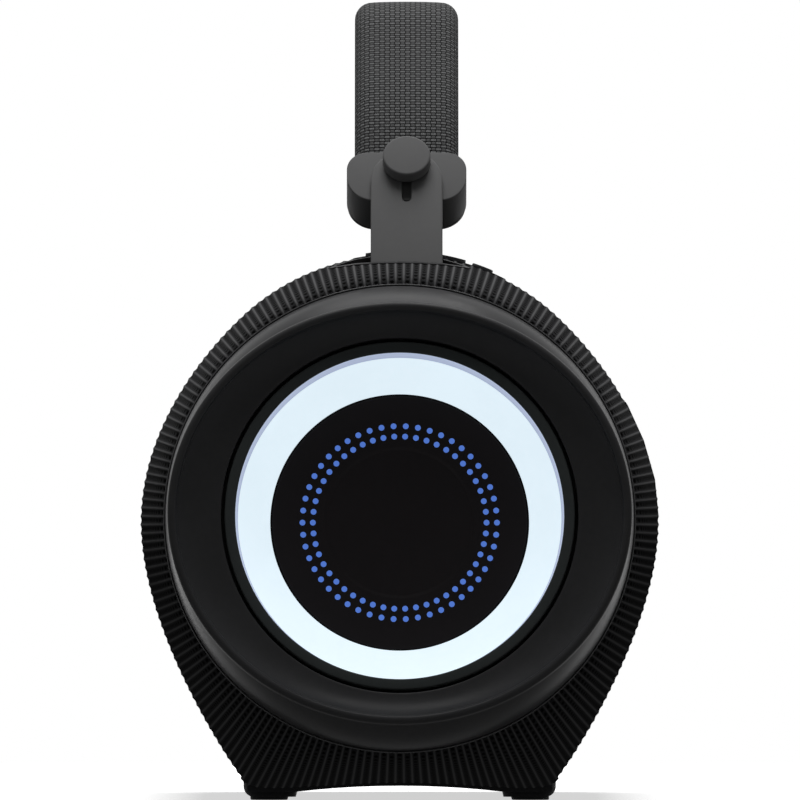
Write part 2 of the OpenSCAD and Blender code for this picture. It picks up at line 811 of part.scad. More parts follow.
module woofer_surround(side) color([0.05, 0.05, 0.05])
    at_front(side * woofer_x, belly_height)
        rotate_extrude($fn = 72)
            roll_2d(cone_outer + roll_side, woofer_hole - 2 * roll_side, flange_t + surround_t + 0.02,
                    surround_t, cone_outer - 2, woofer_radius - 1);
coil_t = 0.8;
coil_end = cone_travel + 2.5 - basket_depth;
cone_neck = -12;                          // height of the cone's neck, from the baffle's face
cone_rim = flange_t - 0.2;
cone_t = 1;
dust_cap_top = -7.6;
module woofer_cone(side) color([0.12, 0.12, 0.12])
    at_front(side * woofer_x, belly_height)
        rotate_extrude($fn = 72)
            polygon([[0, dust_cap_top - coil_t], [coil_r, cone_neck], [coil_r, coil_end],
                     [coil_r + coil_t, coil_end], [coil_r + coil_t, cone_neck - coil_t],
                     [cone_outer, cone_rim - cone_t], [cone_outer, cone_rim],
                     [cone_outer - cone_t, cone_rim], [coil_r, cone_neck + cone_t],
                     [coil_r * 0.6, dust_cap_top - coil_t / 2], [0, dust_cap_top]]);
tweeter_flange_t = 1.6;
tweeter_depth = 14;
tweeter_throat = 4;
dome_r = tweeter_r - 3.6;
module tweeter(side) color([0.25, 0.25, 0.27])
    at_front(0, belly_height + side * tweeter_rise) {
        difference() {
            union() {
                cylinder(h = tweeter_flange_t, r = tweeter_r);
                translate([0, 0, -tweeter_depth])
                    cylinder(h = tweeter_depth + eps, r = tweeter_body_r);
            }
            translate([0, 0, tweeter_flange_t + 1 - tweeter_throat])
                cylinder(h = tweeter_throat, r = dome_r + run_gap);
        }
        // dome
        translate([0, 0, tweeter_flange_t + 1 - tweeter_throat - eps])
            intersection() {
                sphere(r = dome_r);
                cylinder(h = tweeter_flange_t + 1, r = dome_r);
            }
    }

// ---- electronics ----------------------------------------------------------------------------

board_half = 62;
sink_x = [-40, -12];                      // heat sink of the amplifier
sink_rise = 8;
part_margin = 8;                          // distance of the parts from the board's lower edge
chip_x = 4;
chip_size = 18;
chip_rise = 4;
can_count = 4;                            // capacitors standing on the board
can_x = 34;
can_pitch = 7;
can_r = 3;
can_rise = 12;
module main_board() color([0.08, 0.3, 0.16]) {
    face = bay_back - board_t;
    box([-board_half, face, bay_low], [board_half, bay_back, bay_high]);
    box([sink_x[0], face - sink_rise, bay_low + part_margin],
        [sink_x[1], face, bay_high - 2 * part_margin]);
    box([chip_x, face - chip_rise, bay_low + part_margin],
        [chip_x + chip_size, face, bay_low + part_margin + chip_size]);
    for (i = [0:can_count - 1])
        rod_y(can_x + can_pitch * i, (bay_low + bay_high) / 2, face - can_rise, face + eps, can_r);
}
cell_r = 9.2;
cell_l = 65;
cell_gap = 0.1;
battery_low = sole_height + shell_d + shell_wall + cell_gap;
module battery_pack() color([0.2, 0.35, 0.6])
    for (s = [-1, 1])
        for (row = [0, 1])
            for (i = [-1.5:1:1.5])
                translate([s * (cell_l / 2 + 0.5), i * (2 * cell_r + cell_gap),
                           battery_low + cell_r + row * (2 * cell_r + cell_gap)])
                    rotate([0, 90, 0])
                        cylinder(h = cell_l, r = cell_r, center = true);

// ---- top buttons ----------------------------------------------------------------------------

well_gap = 0.35;
key_r = 2;
module bar_2d(l, w) {
    translate([0, -w / 2])
        plate_2d(l, w, key_r, key_r);
}
// outlines of the keys, each moved outwards by a gap
module minus_2d(gap) {
    bar_2d(key_size + 2 * gap, key_bar + 2 * gap);
}
module plus_2d(gap) {
    minus_2d(gap);
    rotate(90)
        minus_2d(gap);
}
play_reach = 0.62;                        // length of the play key against its height
play_blunt = 1;                           // how far the corners of the play key are cut back
module play_2d(gap) {
    r = key_size / 2 + gap;
    reach = key_size * play_reach;
    intersection() {
        translate([reach / 2 - key_size / 6, 0])
            polygon([[-reach / 2 - gap, -r], [-reach / 2 - gap, r],
                     [reach / 2 + key_size * 0.2 + 2 * gap, 0]]);
        square([2 * reach, 2 * (r - play_blunt)], center = true);
    }
}
module round_2d(gap) {
    circle(r = small_key_d / 2 + gap, $fn = 48);
}
// a key-shaped column about the key's own direction of travel
module key_column(x, angle, low, high) {
    translate([x, 0, crown_centre])
        rotate([-angle, 0, 0])
            translate([0, 0, crown_radius - low])
                linear_extrude(height = low + high)
                    children();
}
key_foot = 5;
key_room = 0.7;                           // room left below a key that is pressed fully
well_depth = key_foot + key_travel + key_room;
module all_keys(low, high, gap) {
    key_column(-key_pitch, key_angle, low, high)
        minus_2d(gap);
    key_column(0, key_angle, low, high)
        play_2d(gap);
    key_column(key_pitch, key_angle, low, high)
        plus_2d(gap);
    for (i = [-1:1])
        key_column(i * small_key_pitch, small_key_angle, low, high)
            round_2d(gap);
}
module control_panel() color([0.13, 0.13, 0.14])
    difference() {
        intersection() {
            crown_slice(panel_depth, -panel_proud);
            panel_form(0);
        }
        all_keys(well_depth, key_foot, well_gap);
    }
module key(x, angle) color([0.16, 0.16, 0.17])
    intersection() {
        crown_slice(panel_depth, -key_rise);
        key_column(x, angle, key_foot, key_foot)
            children();
    }

// ---- port bay and flap ------------------------------------------------------------------------

// the barrel's cross-section between two depths, as a strip along X
module skin_strip(deep, high, half) {
    along_x(2 * half)
        difference() {
            polygon(inset_outline(high));
            polygon(inset_outline(deep));
        }
}
bay_mouth_low = hinge_z + barrel_r + 1.5;
port_z = (bay_mouth_low + flap_top) / 2;
port_pitch = 19;
charge_w = 9.2;
charge_h = 3.4;
charge_depth = 6;
jack_r = 1.8;
jack_depth = 12;
inlet_w = 14;
inlet_h = 8;
inlet_depth = 9;
pin_stub = 1.8;                           // length of each hinge pin past the flap
// a slot with round ends
module slot_2d(w, h) {
    translate([0, -h / 2])
        plate_2d(w, h, h / 2 - eps, h / 2 - eps);
}
// a socket sunk in the floor of the bay
module socket(x, depth) {
    translate([x, bay_floor + 1, port_z])
        rotate([90, 0, 0])
            linear_extrude(height = depth + 1)
                children();
}
module port_panel() color([0.13, 0.13, 0.14])
    difference() {
        intersection() {
            along_x(2 * bay_half)
                polygon(inset_outline(shell_d));
            bay_form(0);
        }
        // room for the flap and its hinge barrel
        box([-flap_half - fit_gap, bay_floor, hinge_z - flap_low_gap],
            [flap_half + fit_gap, body_width, bay_mouth_low]);
        intersection() {
            flap_window(fit_gap);
            difference() {
                along_x(4 * bay_half)
                    polygon(inset_outline(-overcut / 4));
                along_x(8 * bay_half)
                    polygon(inset_outline(flap_t + fit_gap));
            }
        }
        // the bay itself
        box([-flap_half + bay_wall, bay_floor, bay_mouth_low - eps],
            [flap_half - bay_wall, body_width, flap_top - bay_wall]);
        // pin holes of the hinge
        rotate([90, 0, 90])
            translate([hinge_y, hinge_z, -flap_half - pin_stub - fit_gap])
                cylinder(h = 2 * (flap_half + pin_stub + fit_gap), r = hinge_r + run_gap / 2);
        socket(-port_pitch, charge_depth)
            slot_2d(charge_w, charge_h);
        socket(0, jack_depth)
            circle(r = jack_r);
        socket(port_pitch, inlet_depth)
            slot_2d(inlet_w, inlet_h);
    }
module port_flap() color([0.11, 0.11, 0.12]) {
    intersection() {
        skin_strip(flap_t, -flap_proud, flap_half);
        box([-flap_half, 0, hinge_z], [flap_half, body_width, flap_top]);
    }
    // hinge barrel with its two pins, and the web that joins it to the flap
    rotate([90, 0, 90])
        translate([hinge_y, hinge_z, -flap_half]) {
            cylinder(h = 2 * flap_half, r = barrel_r);
            translate([0, 0, -pin_stub])
                cylinder(h = 2 * (flap_half + pin_stub), r = hinge_r);
        }
}

// ---- anchor pockets and bars --------------------------------------------------------------------

pocket_lip = 0.3;
module anchor_pocket(side) color([0.1, 0.1, 0.11])
    mirror([side < 0 ? 1 : 0, 0, 0])
        difference() {
            intersection() {
                barrel_end(-pocket_lip);
                pocket_form(0);
            }
            translate([lens_x, 0, pocket_floor + pocket_wall])
                linear_extrude(height = overcut)
                    lens_2d(mouth_half_l, mouth_half_w);
            rod_y(bar_x, bar_z, -loop_half, loop_half, tab_ring_r + loop_room);
            rod_y(bar_x, bar_z, -housing_half - 1, housing_half + 1, bar_r + 0.02);
        }
module anchor_bar(side) color([0.5, 0.5, 0.52])
    rod_y(side * bar_x, bar_z, -housing_half + 0.2, housing_half - 0.2, bar_r);

// ---- strap handle -----------------------------------------------------------------------------

tab_face = tab_ring_r;                    // outer face of the tab, from the bar's middle
tab_back = tab_face - tab_t;
cap_front = tab_back - run_gap;
cap_t = strap_t + 2 * cap_wall;
cap_top = tab_length + 1;
strap_mid = cap_front - cap_t / 2;
strap_foot = cap_top - cap_length + 4.4;
stud_s = tab_length - 5.3;                // distance of the stud's middle from the bar
neck_r = 3.2;

// leaving point of the strap's middle line at the cap's top, then the two bends, in X and Z
lean_out = [cos(tab_lean), sin(tab_lean)];
leg_top = [bar_x, bar_z] + strap_mid * lean_out + cap_top * [-sin(tab_lean), cos(tab_lean)];
bend_1 = leg_top - lower_bend * lean_out;
flank_out = [cos(flank_lean), sin(flank_lean)];
flank_low = bend_1 + lower_bend * flank_out;
crown_line = overall_height - strap_t / 2;
flank_rise = crown_line - flank_low[1] - upper_bend * (1 - sin(flank_lean));
flank_l = flank_rise / cos(flank_lean);
flank_high = flank_low + flank_l * [-sin(flank_lean), cos(flank_lean)];
bend_2 = flank_high - upper_bend * flank_out;

// cross-section of the strap with fully round edges: first axis through it, second across it
round_edge_steps = 10;
function strap_section(w, t) = [for (side = [0, 1]) for (i = [0:round_edge_steps])
    let (a = 180 * (side + i / round_edge_steps))
        [t / 2 * cos(a), (1 - 2 * side) * (w - t) / 2 + t / 2 * sin(a)]];
// stations along the right half of the strap: place in X and Z, and lean from upright
bend_steps = 5;
function bend_stations(centre, r, from, to) = [for (i = [0:bend_steps])
    let (a = from + (to - from) * i / bend_steps) [centre[0] + r * cos(a), centre[1] + r * sin(a), a]];
strap_end = leg_top - (cap_top - strap_foot) * [-sin(tab_lean), cos(tab_lean)];
half_stations = concat([[strap_end[0], strap_end[1], tab_lean]],
    bend_stations(bend_1, lower_bend, tab_lean, flank_lean),
    bend_stations(bend_2, upper_bend, flank_lean, 90));
station_count = len(half_stations);
stations = concat(half_stations, [for (i = [station_count - 1:-1:0]) let (s = half_stations[i])
    [-s[0], s[1], 180 - s[2]]]);
module handle_grip() color([0.31, 0.31, 0.31])
    loft([for (s = stations) [for (p = strap_section(strap_w, strap_t))
        [s[0] + p[0] * cos(s[2]), strap_shift + p[1], s[1] + p[0] * sin(s[2])]]]);

cap_w = strap_w + 2 * cap_side;
cap_r_up = 6.5;
cap_r_low = 9;
module handle_cap(side) color([0.34, 0.34, 0.34])
    at_leg(side)
        difference() {
            translate([cap_front - cap_t, 0, cap_top - cap_length])
                rotate([90, 0, 90])
                    linear_extrude(height = cap_t)
                        plate_2d(cap_w, cap_length, cap_r_up, cap_r_low);
            // pocket that holds the end of the strap
            translate([strap_mid, 0, strap_foot - run_gap])
                rotate([0, 0, 90])
                    linear_extrude(height = cap_length)
                        translate([0, -strap_t / 2 - run_gap])
                            plate_2d(strap_w + 2 * run_gap, strap_t + 2 * run_gap,
                                     strap_t / 2, strap_t / 2);
            // hole for the stud's neck
            translate([0, 0, stud_s])
                rotate([0, 90, 0])
                    cylinder(h = overcut, r = neck_r + 0.02);
        }

slot_w = 3.1;
slot_low = stud_s - 13;
module handle_tab(side) color([0.38, 0.38, 0.38])
    at_leg(side)
        difference() {
            union() {
                translate([tab_back, 0, 0])
                    rotate([90, 0, 90])
                        linear_extrude(height = tab_t) {
                            translate([-tab_w / 2, 0])
                                square([tab_w, tab_length - tab_w / 2]);
                            translate([0, tab_length - tab_w / 2])
                                circle(r = tab_w / 2);
                        }
                rod_y(0, 0, -tab_w / 2, tab_w / 2, tab_ring_r);
            }
            rod_y(0, 0, -tab_w, tab_w, bar_r + run_gap);
            translate([0, 0, stud_s])
                rotate([0, 90, 0])
                    cylinder(h = overcut, r = neck_r + 0.05);
            box([tab_back - 1, -slot_w / 2, slot_low], [tab_face + 1, slot_w / 2, stud_s]);
            translate([0, 0, slot_low])
                rotate([0, 90, 0])
                    cylinder(h = overcut, r = slot_w / 2);
        }
module handle_stud(side) color([0.38, 0.38, 0.38])
    at_leg(side)
        translate([0, 0, stud_s])
            rotate([0, 90, 0])
                rotate_extrude()
                    polygon([[0, cap_front - cap_wall + run_gap + 0.05],
                             [neck_r, cap_front - cap_wall + run_gap + 0.05],
                             [neck_r, tab_face + 0.05],
                             [stud_d / 2 - 1, tab_face + 0.05], [stud_d / 2, tab_face + 1.2],
                             [stud_d / 2, tab_face + stud_rise - 0.5],
                             [stud_d / 2 - 0.5, tab_face + stud_rise], [0, tab_face + stud_rise]]);

// ---- the part ---------------------------------------------------------------------------------

fabric_sleeve();
shell_front();
shell_rear();
base_plate();
foot_rail(-1);  // foot_rail_front
foot_rail(1);  // foot_rail_rear
foot_pad(-1);  // foot_pad_front
foot_pad(1);  // foot_pad_rear
base_screws();
end_bezel(1);  // end_bezel_right
end_bezel(-1);  // end_bezel_left
trim_ring(1);  // trim_ring_right
trim_ring(-1);  // trim_ring_left
gasket_ring(1);  // gasket_ring_right
gasket_ring(-1);  // gasket_ring_left
light_ring(1);  // light_ring_right
light_ring(-1);  // light_ring_left
led_board(1);  // led_board_right
led_board(-1);  // led_board_left
radiator_frame(1);  // radiator_frame_right
radiator_frame(-1);  // radiator_frame_left
radiator_surround(1);  // radiator_surround_right
radiator_surround(-1);  // radiator_surround_left
radiator_disc(1);  // radiator_disc_right
radiator_disc(-1);  // radiator_disc_left
marker_dots(1);  // marker_dots_right
marker_dots(-1);  // marker_dots_left
driver_baffle();
woofer_frame(1);  // woofer_frame_right
woofer_frame(-1);  // woofer_frame_left
woofer_magnet(1);  // woofer_magnet_right
woofer_magnet(-1);  // woofer_magnet_left
woofer_surround(1);  // woofer_surround_right
woofer_surround(-1);  // woofer_surround_left
woofer_cone(1);  // woofer_cone_right
woofer_cone(-1);  // woofer_cone_left
tweeter(1);  // tweeter_upper
tweeter(-1);  // tweeter_lower
main_board();
battery_pack();
control_panel();
key(-key_pitch, key_angle) minus_2d(0);  // minus_button
key(0, key_angle) play_2d(0);  // play_button
key(key_pitch, key_angle) plus_2d(0);  // plus_button
key(-small_key_pitch, small_key_angle) round_2d(0);  // power_button
key(0, small_key_angle) round_2d(0);  // pairing_button
key(small_key_pitch, small_key_angle) round_2d(0);  // link_button
port_panel();
port_flap();
anchor_pocket(1);  // anchor_pocket_right
anchor_pocket(-1);  // anchor_pocket_left
anchor_bar(1);  // anchor_bar_right
anchor_bar(-1);  // anchor_bar_left
handle_grip();
handle_cap(1);  // handle_cap_right
handle_cap(-1);  // handle_cap_left
handle_tab(1);  // handle_tab_right
handle_tab(-1);  // handle_tab_left
handle_stud(1);  // handle_stud_right
handle_stud(-1);  // handle_stud_left
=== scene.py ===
import json
import math

import bpy
import numpy as np
from mathutils import Matrix, Vector

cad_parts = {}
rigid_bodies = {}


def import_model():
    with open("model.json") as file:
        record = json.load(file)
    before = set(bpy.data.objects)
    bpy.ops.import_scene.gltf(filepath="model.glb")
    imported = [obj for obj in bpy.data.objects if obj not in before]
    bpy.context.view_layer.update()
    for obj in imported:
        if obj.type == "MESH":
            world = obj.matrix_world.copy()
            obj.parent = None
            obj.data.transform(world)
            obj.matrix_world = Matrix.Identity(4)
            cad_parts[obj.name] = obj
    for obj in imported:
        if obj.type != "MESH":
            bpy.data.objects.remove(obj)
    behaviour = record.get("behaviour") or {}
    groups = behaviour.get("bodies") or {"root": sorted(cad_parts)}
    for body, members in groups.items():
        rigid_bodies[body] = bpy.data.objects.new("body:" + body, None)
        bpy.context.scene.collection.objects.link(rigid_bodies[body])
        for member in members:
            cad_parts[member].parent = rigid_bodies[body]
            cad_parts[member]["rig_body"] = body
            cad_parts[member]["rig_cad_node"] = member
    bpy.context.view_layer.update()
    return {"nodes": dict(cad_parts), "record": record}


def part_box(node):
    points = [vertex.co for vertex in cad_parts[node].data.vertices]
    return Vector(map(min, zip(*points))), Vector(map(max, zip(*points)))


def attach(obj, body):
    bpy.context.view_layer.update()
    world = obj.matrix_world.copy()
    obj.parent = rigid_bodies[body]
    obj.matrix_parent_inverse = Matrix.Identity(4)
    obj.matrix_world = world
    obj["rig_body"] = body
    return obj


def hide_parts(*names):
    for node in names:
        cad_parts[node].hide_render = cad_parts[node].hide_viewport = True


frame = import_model()
cad_nodes = frame["nodes"]
MM = 0.001

# ---- sizes of the speaker, in millimetres --------------------------------------------------------

# barrel: middle and tilt of its end faces, and where its full section begins
END_X, END_Z, FACE_TILT, END_R = 146.5, 89.7, math.radians(7), 74.8
FULL_X, HEIGHT = 96.5, 254.5
RIBS, RIB_CUT = 196, 0.35
STITCH_SPAN, STITCH = 400, 1.9            # length that V = 1 stands for, and one stitch
# end rings, on the tilted axis: the crest of the bezel is wider than it is high
CREST_R, CREST_SIDE_R, CREST_Z, CREST_TURN = 65.8, 72.0, 14.1, 1.5
DISH_EDGE, BEZEL_R = 56.9, 74.15
DISC_FACE, DISC_R = -11.0, 40.4
DOT_ROWS, DOTS_ROUND = (27.5, 30.8), 50
SPIN_STEPS = 256
# handle: places along a leg are measured from its anchor bar
BAR_X, BAR_Z, TAB_LEAN = 119.0, 164.0, math.radians(35)
POCKET_X, MOUTH_L, MOUTH_W, POCKET_LIP = 116.9, 7.5, 20.9, 1.9
STRAP_SHIFT, STRAP_W, STRAP_T = 2.2, 33.0, 11.5
STRAP_MID, STRAP_FOOT, CROWN_SWELL = -4.95, 35.1, 0.28
FLANK_LEAN, LOWER_BEND, UPPER_BEND = math.radians(52), 112.0, 30.0
WARP, WEFT = 1.64, 1.15                   # spacing of the threads of the webbing
TAB_FACE, TAB_T, TAB_W, TAB_LENGTH, TAB_EDGE = 4.9, 2.3, 22.8, 48.5, 0.45
SLIT_HALF, SLIT_LOW, SLIT_TOP = 1.55, 28.6, 43
CAP_FRONT, CAP_T, CAP_W, CAP_TOP, CAP_LENGTH = 2.5, 14.9, 38.0, 49.5, 18.8
CAP_R_LOW, CAP_R_UP, CAP_EDGE = 9, 6.5, 3.2
STUD_S, STUD_D, STUD_RISE, NECK_R, BAR_BORE = 43.2, 15.2, 5.0, 3.2, 2.6
# studio, in metres
FLOOR_R, GLOW_NEAR, GLOW_FAR, GLOW_LEAST, WORLD_FILL = 1.1, 0.15, 0.8, 0.62, 0.12
CAMERA_DISTANCE, CAMERA_Y, CAMERA_Z = 12.0, 0.0001, 0.1272
SCALE, SCALE_PLANE, PICTURE, SENSOR = 3.14, 0.07, 800, 36.0


# ---- modelling helpers ---------------------------------------------------------------------------

def clear_selection():
    if bpy.context.mode != "OBJECT":
        bpy.ops.object.mode_set(mode="OBJECT")
    bpy.ops.object.select_all(action="DESELECT")


def select_only(piece):
    clear_selection()
    piece.select_set(True)
    bpy.context.view_layer.objects.active = piece


def close_mesh(piece):
    """Merges doubles, turns the faces outwards and leaves edit mode."""
    bpy.ops.mesh.select_all(action="SELECT")
    bpy.ops.mesh.remove_doubles(threshold=1e-6)
    bpy.ops.mesh.normals_make_consistent(inside=False)
    bpy.ops.object.mode_set(mode="OBJECT")
    return piece


def draw_path(name, points):
    """One vertex, extruded from point to point. It stays in edit mode."""
    clear_selection()
    bpy.ops.mesh.primitive_plane_add(size=0.002)
    piece = bpy.context.object
    piece.name = piece.data.name = name
    bpy.ops.object.mode_set(mode="EDIT")
    bpy.ops.mesh.merge(type="CENTER")
    bpy.ops.transform.translate(value=points[0])
    for a, b in zip(points, points[1:]):
        bpy.ops.mesh.extrude_region_move(
            TRANSFORM_OT_translate={"value": Vector(b) - Vector(a)})
    bpy.ops.mesh.select_all(action="SELECT")
    return piece


def turned(name, profile, steps=192, closed=True):
    """A profile of radius and height, spun about the Z axis."""
    points = [(r * MM, 0, z * MM) for r, z in profile]
    piece = draw_path(name, points + points[:1] if closed else points)
    bpy.ops.mesh.spin(steps=steps, angle=2 * math.pi, center=(0, 0, 0), axis=(0, 0, 1))
    return close_mesh(piece)


def prism(name, outline, low, high, bevel=0.0, segments=3):
    """A closed outline, filled and extruded along Z, with its two rims bevelled."""
    points = [(x * MM, y * MM, low * MM) for x, y in outline]
    piece = draw_path(name, points + points[:1])
    bpy.ops.mesh.remove_doubles(threshold=1e-6)
    bpy.ops.mesh.edge_face_add()
    bpy.ops.mesh.extrude_region_move(
        TRANSFORM_OT_translate={"value": (0, 0, (high - low) * MM)})
    close_mesh(piece)
    if bevel:
        rims = (low * MM, high * MM)
        corners = piece.data.vertices
        for part in (piece.data.vertices, piece.data.edges, piece.data.polygons):
            part.foreach_set("select", [False] * len(part))
        for edge in piece.data.edges:
            a, b = (corners[v].co.z for v in edge.vertices)
            edge.select = abs(a - b) < 1e-7 and min(abs(a - r) for r in rims) < 1e-6
        select_only(piece)
        bpy.ops.object.mode_set(mode="EDIT")
        bpy.ops.mesh.select_mode(type="EDGE")
        bpy.ops.mesh.bevel(offset=bevel * MM, segments=segments, profile=0.5, affect="EDGES",
                           clamp_overlap=True)
        bpy.ops.mesh.select_mode(type="VERT")
        close_mesh(piece)
    return piece


def rounded(corners, steps=6):
    """A closed outline of (x, y, radius) corners, each rounded."""
    out = []
    for i, (x, y, r) in enumerate(corners):
        if not r:
            out.append((x, y))
            continue
        p = Vector((x, y))
        u = (Vector(corners[i - 1][:2]) - p).normalized()
        w = (Vector(corners[(i + 1) % len(corners)][:2]) - p).normalized()
        half = u.angle(w) / 2
        c = p + (u + w).normalized() * r / math.sin(half)
        s, e = p + u * r / math.tan(half) - c, p + w * r / math.tan(half) - c
        start = math.atan2(s.y, s.x)
        turn = (math.atan2(e.y, e.x) - start + math.pi) % (2 * math.pi) - math.pi
        out += [(c.x + r * math.cos(start + turn * k / steps),
                 c.y + r * math.sin(start + turn * k / steps)) for k in range(steps + 1)]
    return out


def bowed(p, q, bow, steps):
    """Points from p to q on a shallow arc that bows to the left of its run."""
    p, q = Vector(p), Vector(q)
    side = (q - p).normalized()
    side = Vector((-side.y, side.x))
    return [tuple(p + (q - p) * t + side * bow * 4 * t * (1 - t))
            for t in (i / steps for i in range(steps + 1))]


def move(piece, matrix):
    piece.data.transform(matrix)
    if matrix.determinant() < 0:
        piece.data.flip_normals()
    piece.data.update()
    return piece


def copy_of(piece, name):
    twin = piece.copy()
    twin.data = piece.data.copy()
    twin.name = twin.data.name = name
    bpy.context.scene.collection.objects.link(twin)
    return twin


def join(pieces):
    clear_selection()
    for p in pieces:
        p.select_set(True)
    bpy.context.view_layer.objects.active = pieces[0]
    bpy.ops.object.join()
    return pieces[0]


def apply_modifier(piece, kind, **settings):
    select_only(piece)
    modifier = piece.modifiers.new(kind.lower(), kind)
    for key, value in settings.items():
        setattr(modifier, key, value)
    bpy.ops.object.modifier_apply(modifier=modifier.name)


def cut(piece, cutter):
    """Takes the cutter's form out of the piece and throws the cutter away."""
    apply_modifier(piece, "BOOLEAN", operation="DIFFERENCE", solver="EXACT", object=cutter)
    bpy.data.objects.remove(cutter)


def smooth(piece, degrees):
    select_only(piece)
    bpy.ops.object.shade_smooth_by_angle(angle=math.radians(degrees))


MIRROR_X = Matrix.Scale(-1, 4, (1, 0, 0))
AT_END = Matrix.Translation((END_X * MM, 0, END_Z * MM)) @ Matrix.Rotation(
    math.pi / 2 - FACE_TILT, 4, "Y")
AT_LEG = Matrix.Translation((BAR_X * MM, STRAP_SHIFT * MM, BAR_Z * MM)) @ Matrix.Rotation(
    -TAB_LEAN, 4, "Y")
# a prism's X, Y and Z laid along Y, up the leg and out of it
LEG_PLATE = Matrix(((0, 0, 1, 0), (1, 0, 0, 0), (0, 1, 0, 0), (0, 0, 0, 1)))


def both_ends(piece, node, body, finish, place, degrees=35):
    """Puts a piece at the right end and its mirror image at the left end."""
    for side, matrix in (("right", place), ("left", MIRROR_X @ place)):
        one = copy_of(piece, f"{node}_{side}_finished")
        move(one, matrix)
        settle(one, f"{node}_{side}", body.format(side=side), finish, degrees)
    bpy.data.objects.remove(piece)


def settle(piece, node, body, finish, degrees=35):
    """Gives a finished piece its material and its body, and hides the CAD node that it stands for."""
    if finish is not None:
        piece.data.materials.clear()
        piece.data.materials.append(finish)
    smooth(piece, degrees)
    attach(piece, body)
    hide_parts(node)


# ---- shader groups -------------------------------------------------------------------------------

def new_group(name, inputs, outputs):
    group = bpy.data.node_groups.new(name, "ShaderNodeTree")
    for label, kind, value in inputs:
        socket = group.interface.new_socket(label, in_out="INPUT", socket_type=kind)
        socket.default_value = value
    for label, kind in outputs:
        group.interface.new_socket(label, in_out="OUTPUT", socket_type=kind)
    return group, group.nodes.new("NodeGroupInput"), group.nodes.new("NodeGroupOutput")


class Wires:
    """Short ways to add nodes to a tree and to join them."""

    def __init__(self, tree):
        self.tree = tree

    def node(self, kind, **settings):
        node = self.tree.nodes.new(kind)
        for key, value in settings.items():
            setattr(node, key, value)
        return node

    def plug(self, value, socket):
        if isinstance(value, bpy.types.NodeSocket):
            self.tree.links.new(value, socket)
        else:
            socket.default_value = value

    def math(self, operation, *values):
        node = self.node("ShaderNodeMath", operation=operation)
        for value, socket in zip(values, node.inputs):
            self.plug(value, socket)
        return node.outputs[0]

    def ramp(self, value, low, high, to_low=0.0, to_high=1.0):
        node = self.node("ShaderNodeMapRange", interpolation_type="SMOOTHSTEP")
        for given, socket in zip((value, low, high, to_low, to_high), node.inputs):
            self.plug(given, socket)
        return node.outputs[0]

    def mix(self, mask, a, b):
        node = self.node("ShaderNodeMix", data_type="RGBA")
        self.plug(mask, node.inputs[0])
        self.plug(a, node.inputs[6])
        self.plug(b, node.inputs[7])
        return node.outputs[2]

    def noise(self, where, scale, detail=2.0, roughness=0.5):
        node = self.node("ShaderNodeTexNoise")
        self.plug(where, node.inputs["Vector"])
        node.inputs["Scale"].default_value = scale
        node.inputs["Detail"].default_value = detail
        node.inputs["Roughness"].default_value = roughness
        return node.outputs["Fac"]

    def stretch(self, where, scale):
        node = self.node("ShaderNodeMapping")
        self.plug(where, node.inputs["Vector"])
        node.inputs["Scale"].default_value = scale
        return node.outputs[0]

    def split(self, where):
        node = self.node("ShaderNodeSeparateXYZ")
        self.plug(where, node.inputs[0])
        return node.outputs

    def bump(self, height, strength, distance):
        node = self.node("ShaderNodeBump")
        node.inputs["Strength"].default_value = strength
        node.inputs["Distance"].default_value = distance
        self.plug(height, node.inputs["Height"])
        return node.outputs[0]


def grain_group():
    """Moulded surface: a fine spark-eroded grain and broad, faint handling marks."""
    group, given, result = new_group(
        "moulded_grain", [("Grain Scale", "NodeSocketFloat", 2600.0)],
        [("Grain", "NodeSocketFloat"), ("Marks", "NodeSocketFloat")])
    w = Wires(group)
    where = w.node("ShaderNodeTexCoord").outputs["Object"]
    fine = w.node("ShaderNodeTexNoise")
    w.plug(where, fine.inputs["Vector"])
    w.plug(given.outputs[0], fine.inputs["Scale"])
    fine.inputs["Detail"].default_value = 3.0
    broad = w.noise(where, 38.0, 4.0, 0.6)
    specks = w.noise(where, 420.0, 2.0, 0.5)
    w.plug(fine.outputs["Fac"], result.inputs["Grain"])
    marks = w.math("MULTIPLY_ADD", specks, 0.3, w.math("MULTIPLY", broad, 0.7))
    w.plug(w.ramp(marks, 0.35, 0.65), result.inputs["Marks"])
    return group


def brushed_group():
    """Metal drawn or rolled along X: fine lines and soft stains."""
    group, given, result = new_group(
        "drawn_lines", [("Line Scale", "NodeSocketFloat", 900.0)],
        [("Lines", "NodeSocketFloat"), ("Stains", "NodeSocketFloat")])
    w = Wires(group)
    where = w.node("ShaderNodeTexCoord").outputs["Object"]
    lines = w.node("ShaderNodeTexNoise")
    w.plug(w.stretch(where, (0.03, 1.0, 1.0)), lines.inputs["Vector"])
    w.plug(given.outputs[0], lines.inputs["Scale"])
    w.plug(lines.outputs["Fac"], result.inputs["Lines"])
    w.plug(w.ramp(w.noise(where, 60.0, 3.0), 0.35, 0.7), result.inputs["Stains"])
    return group


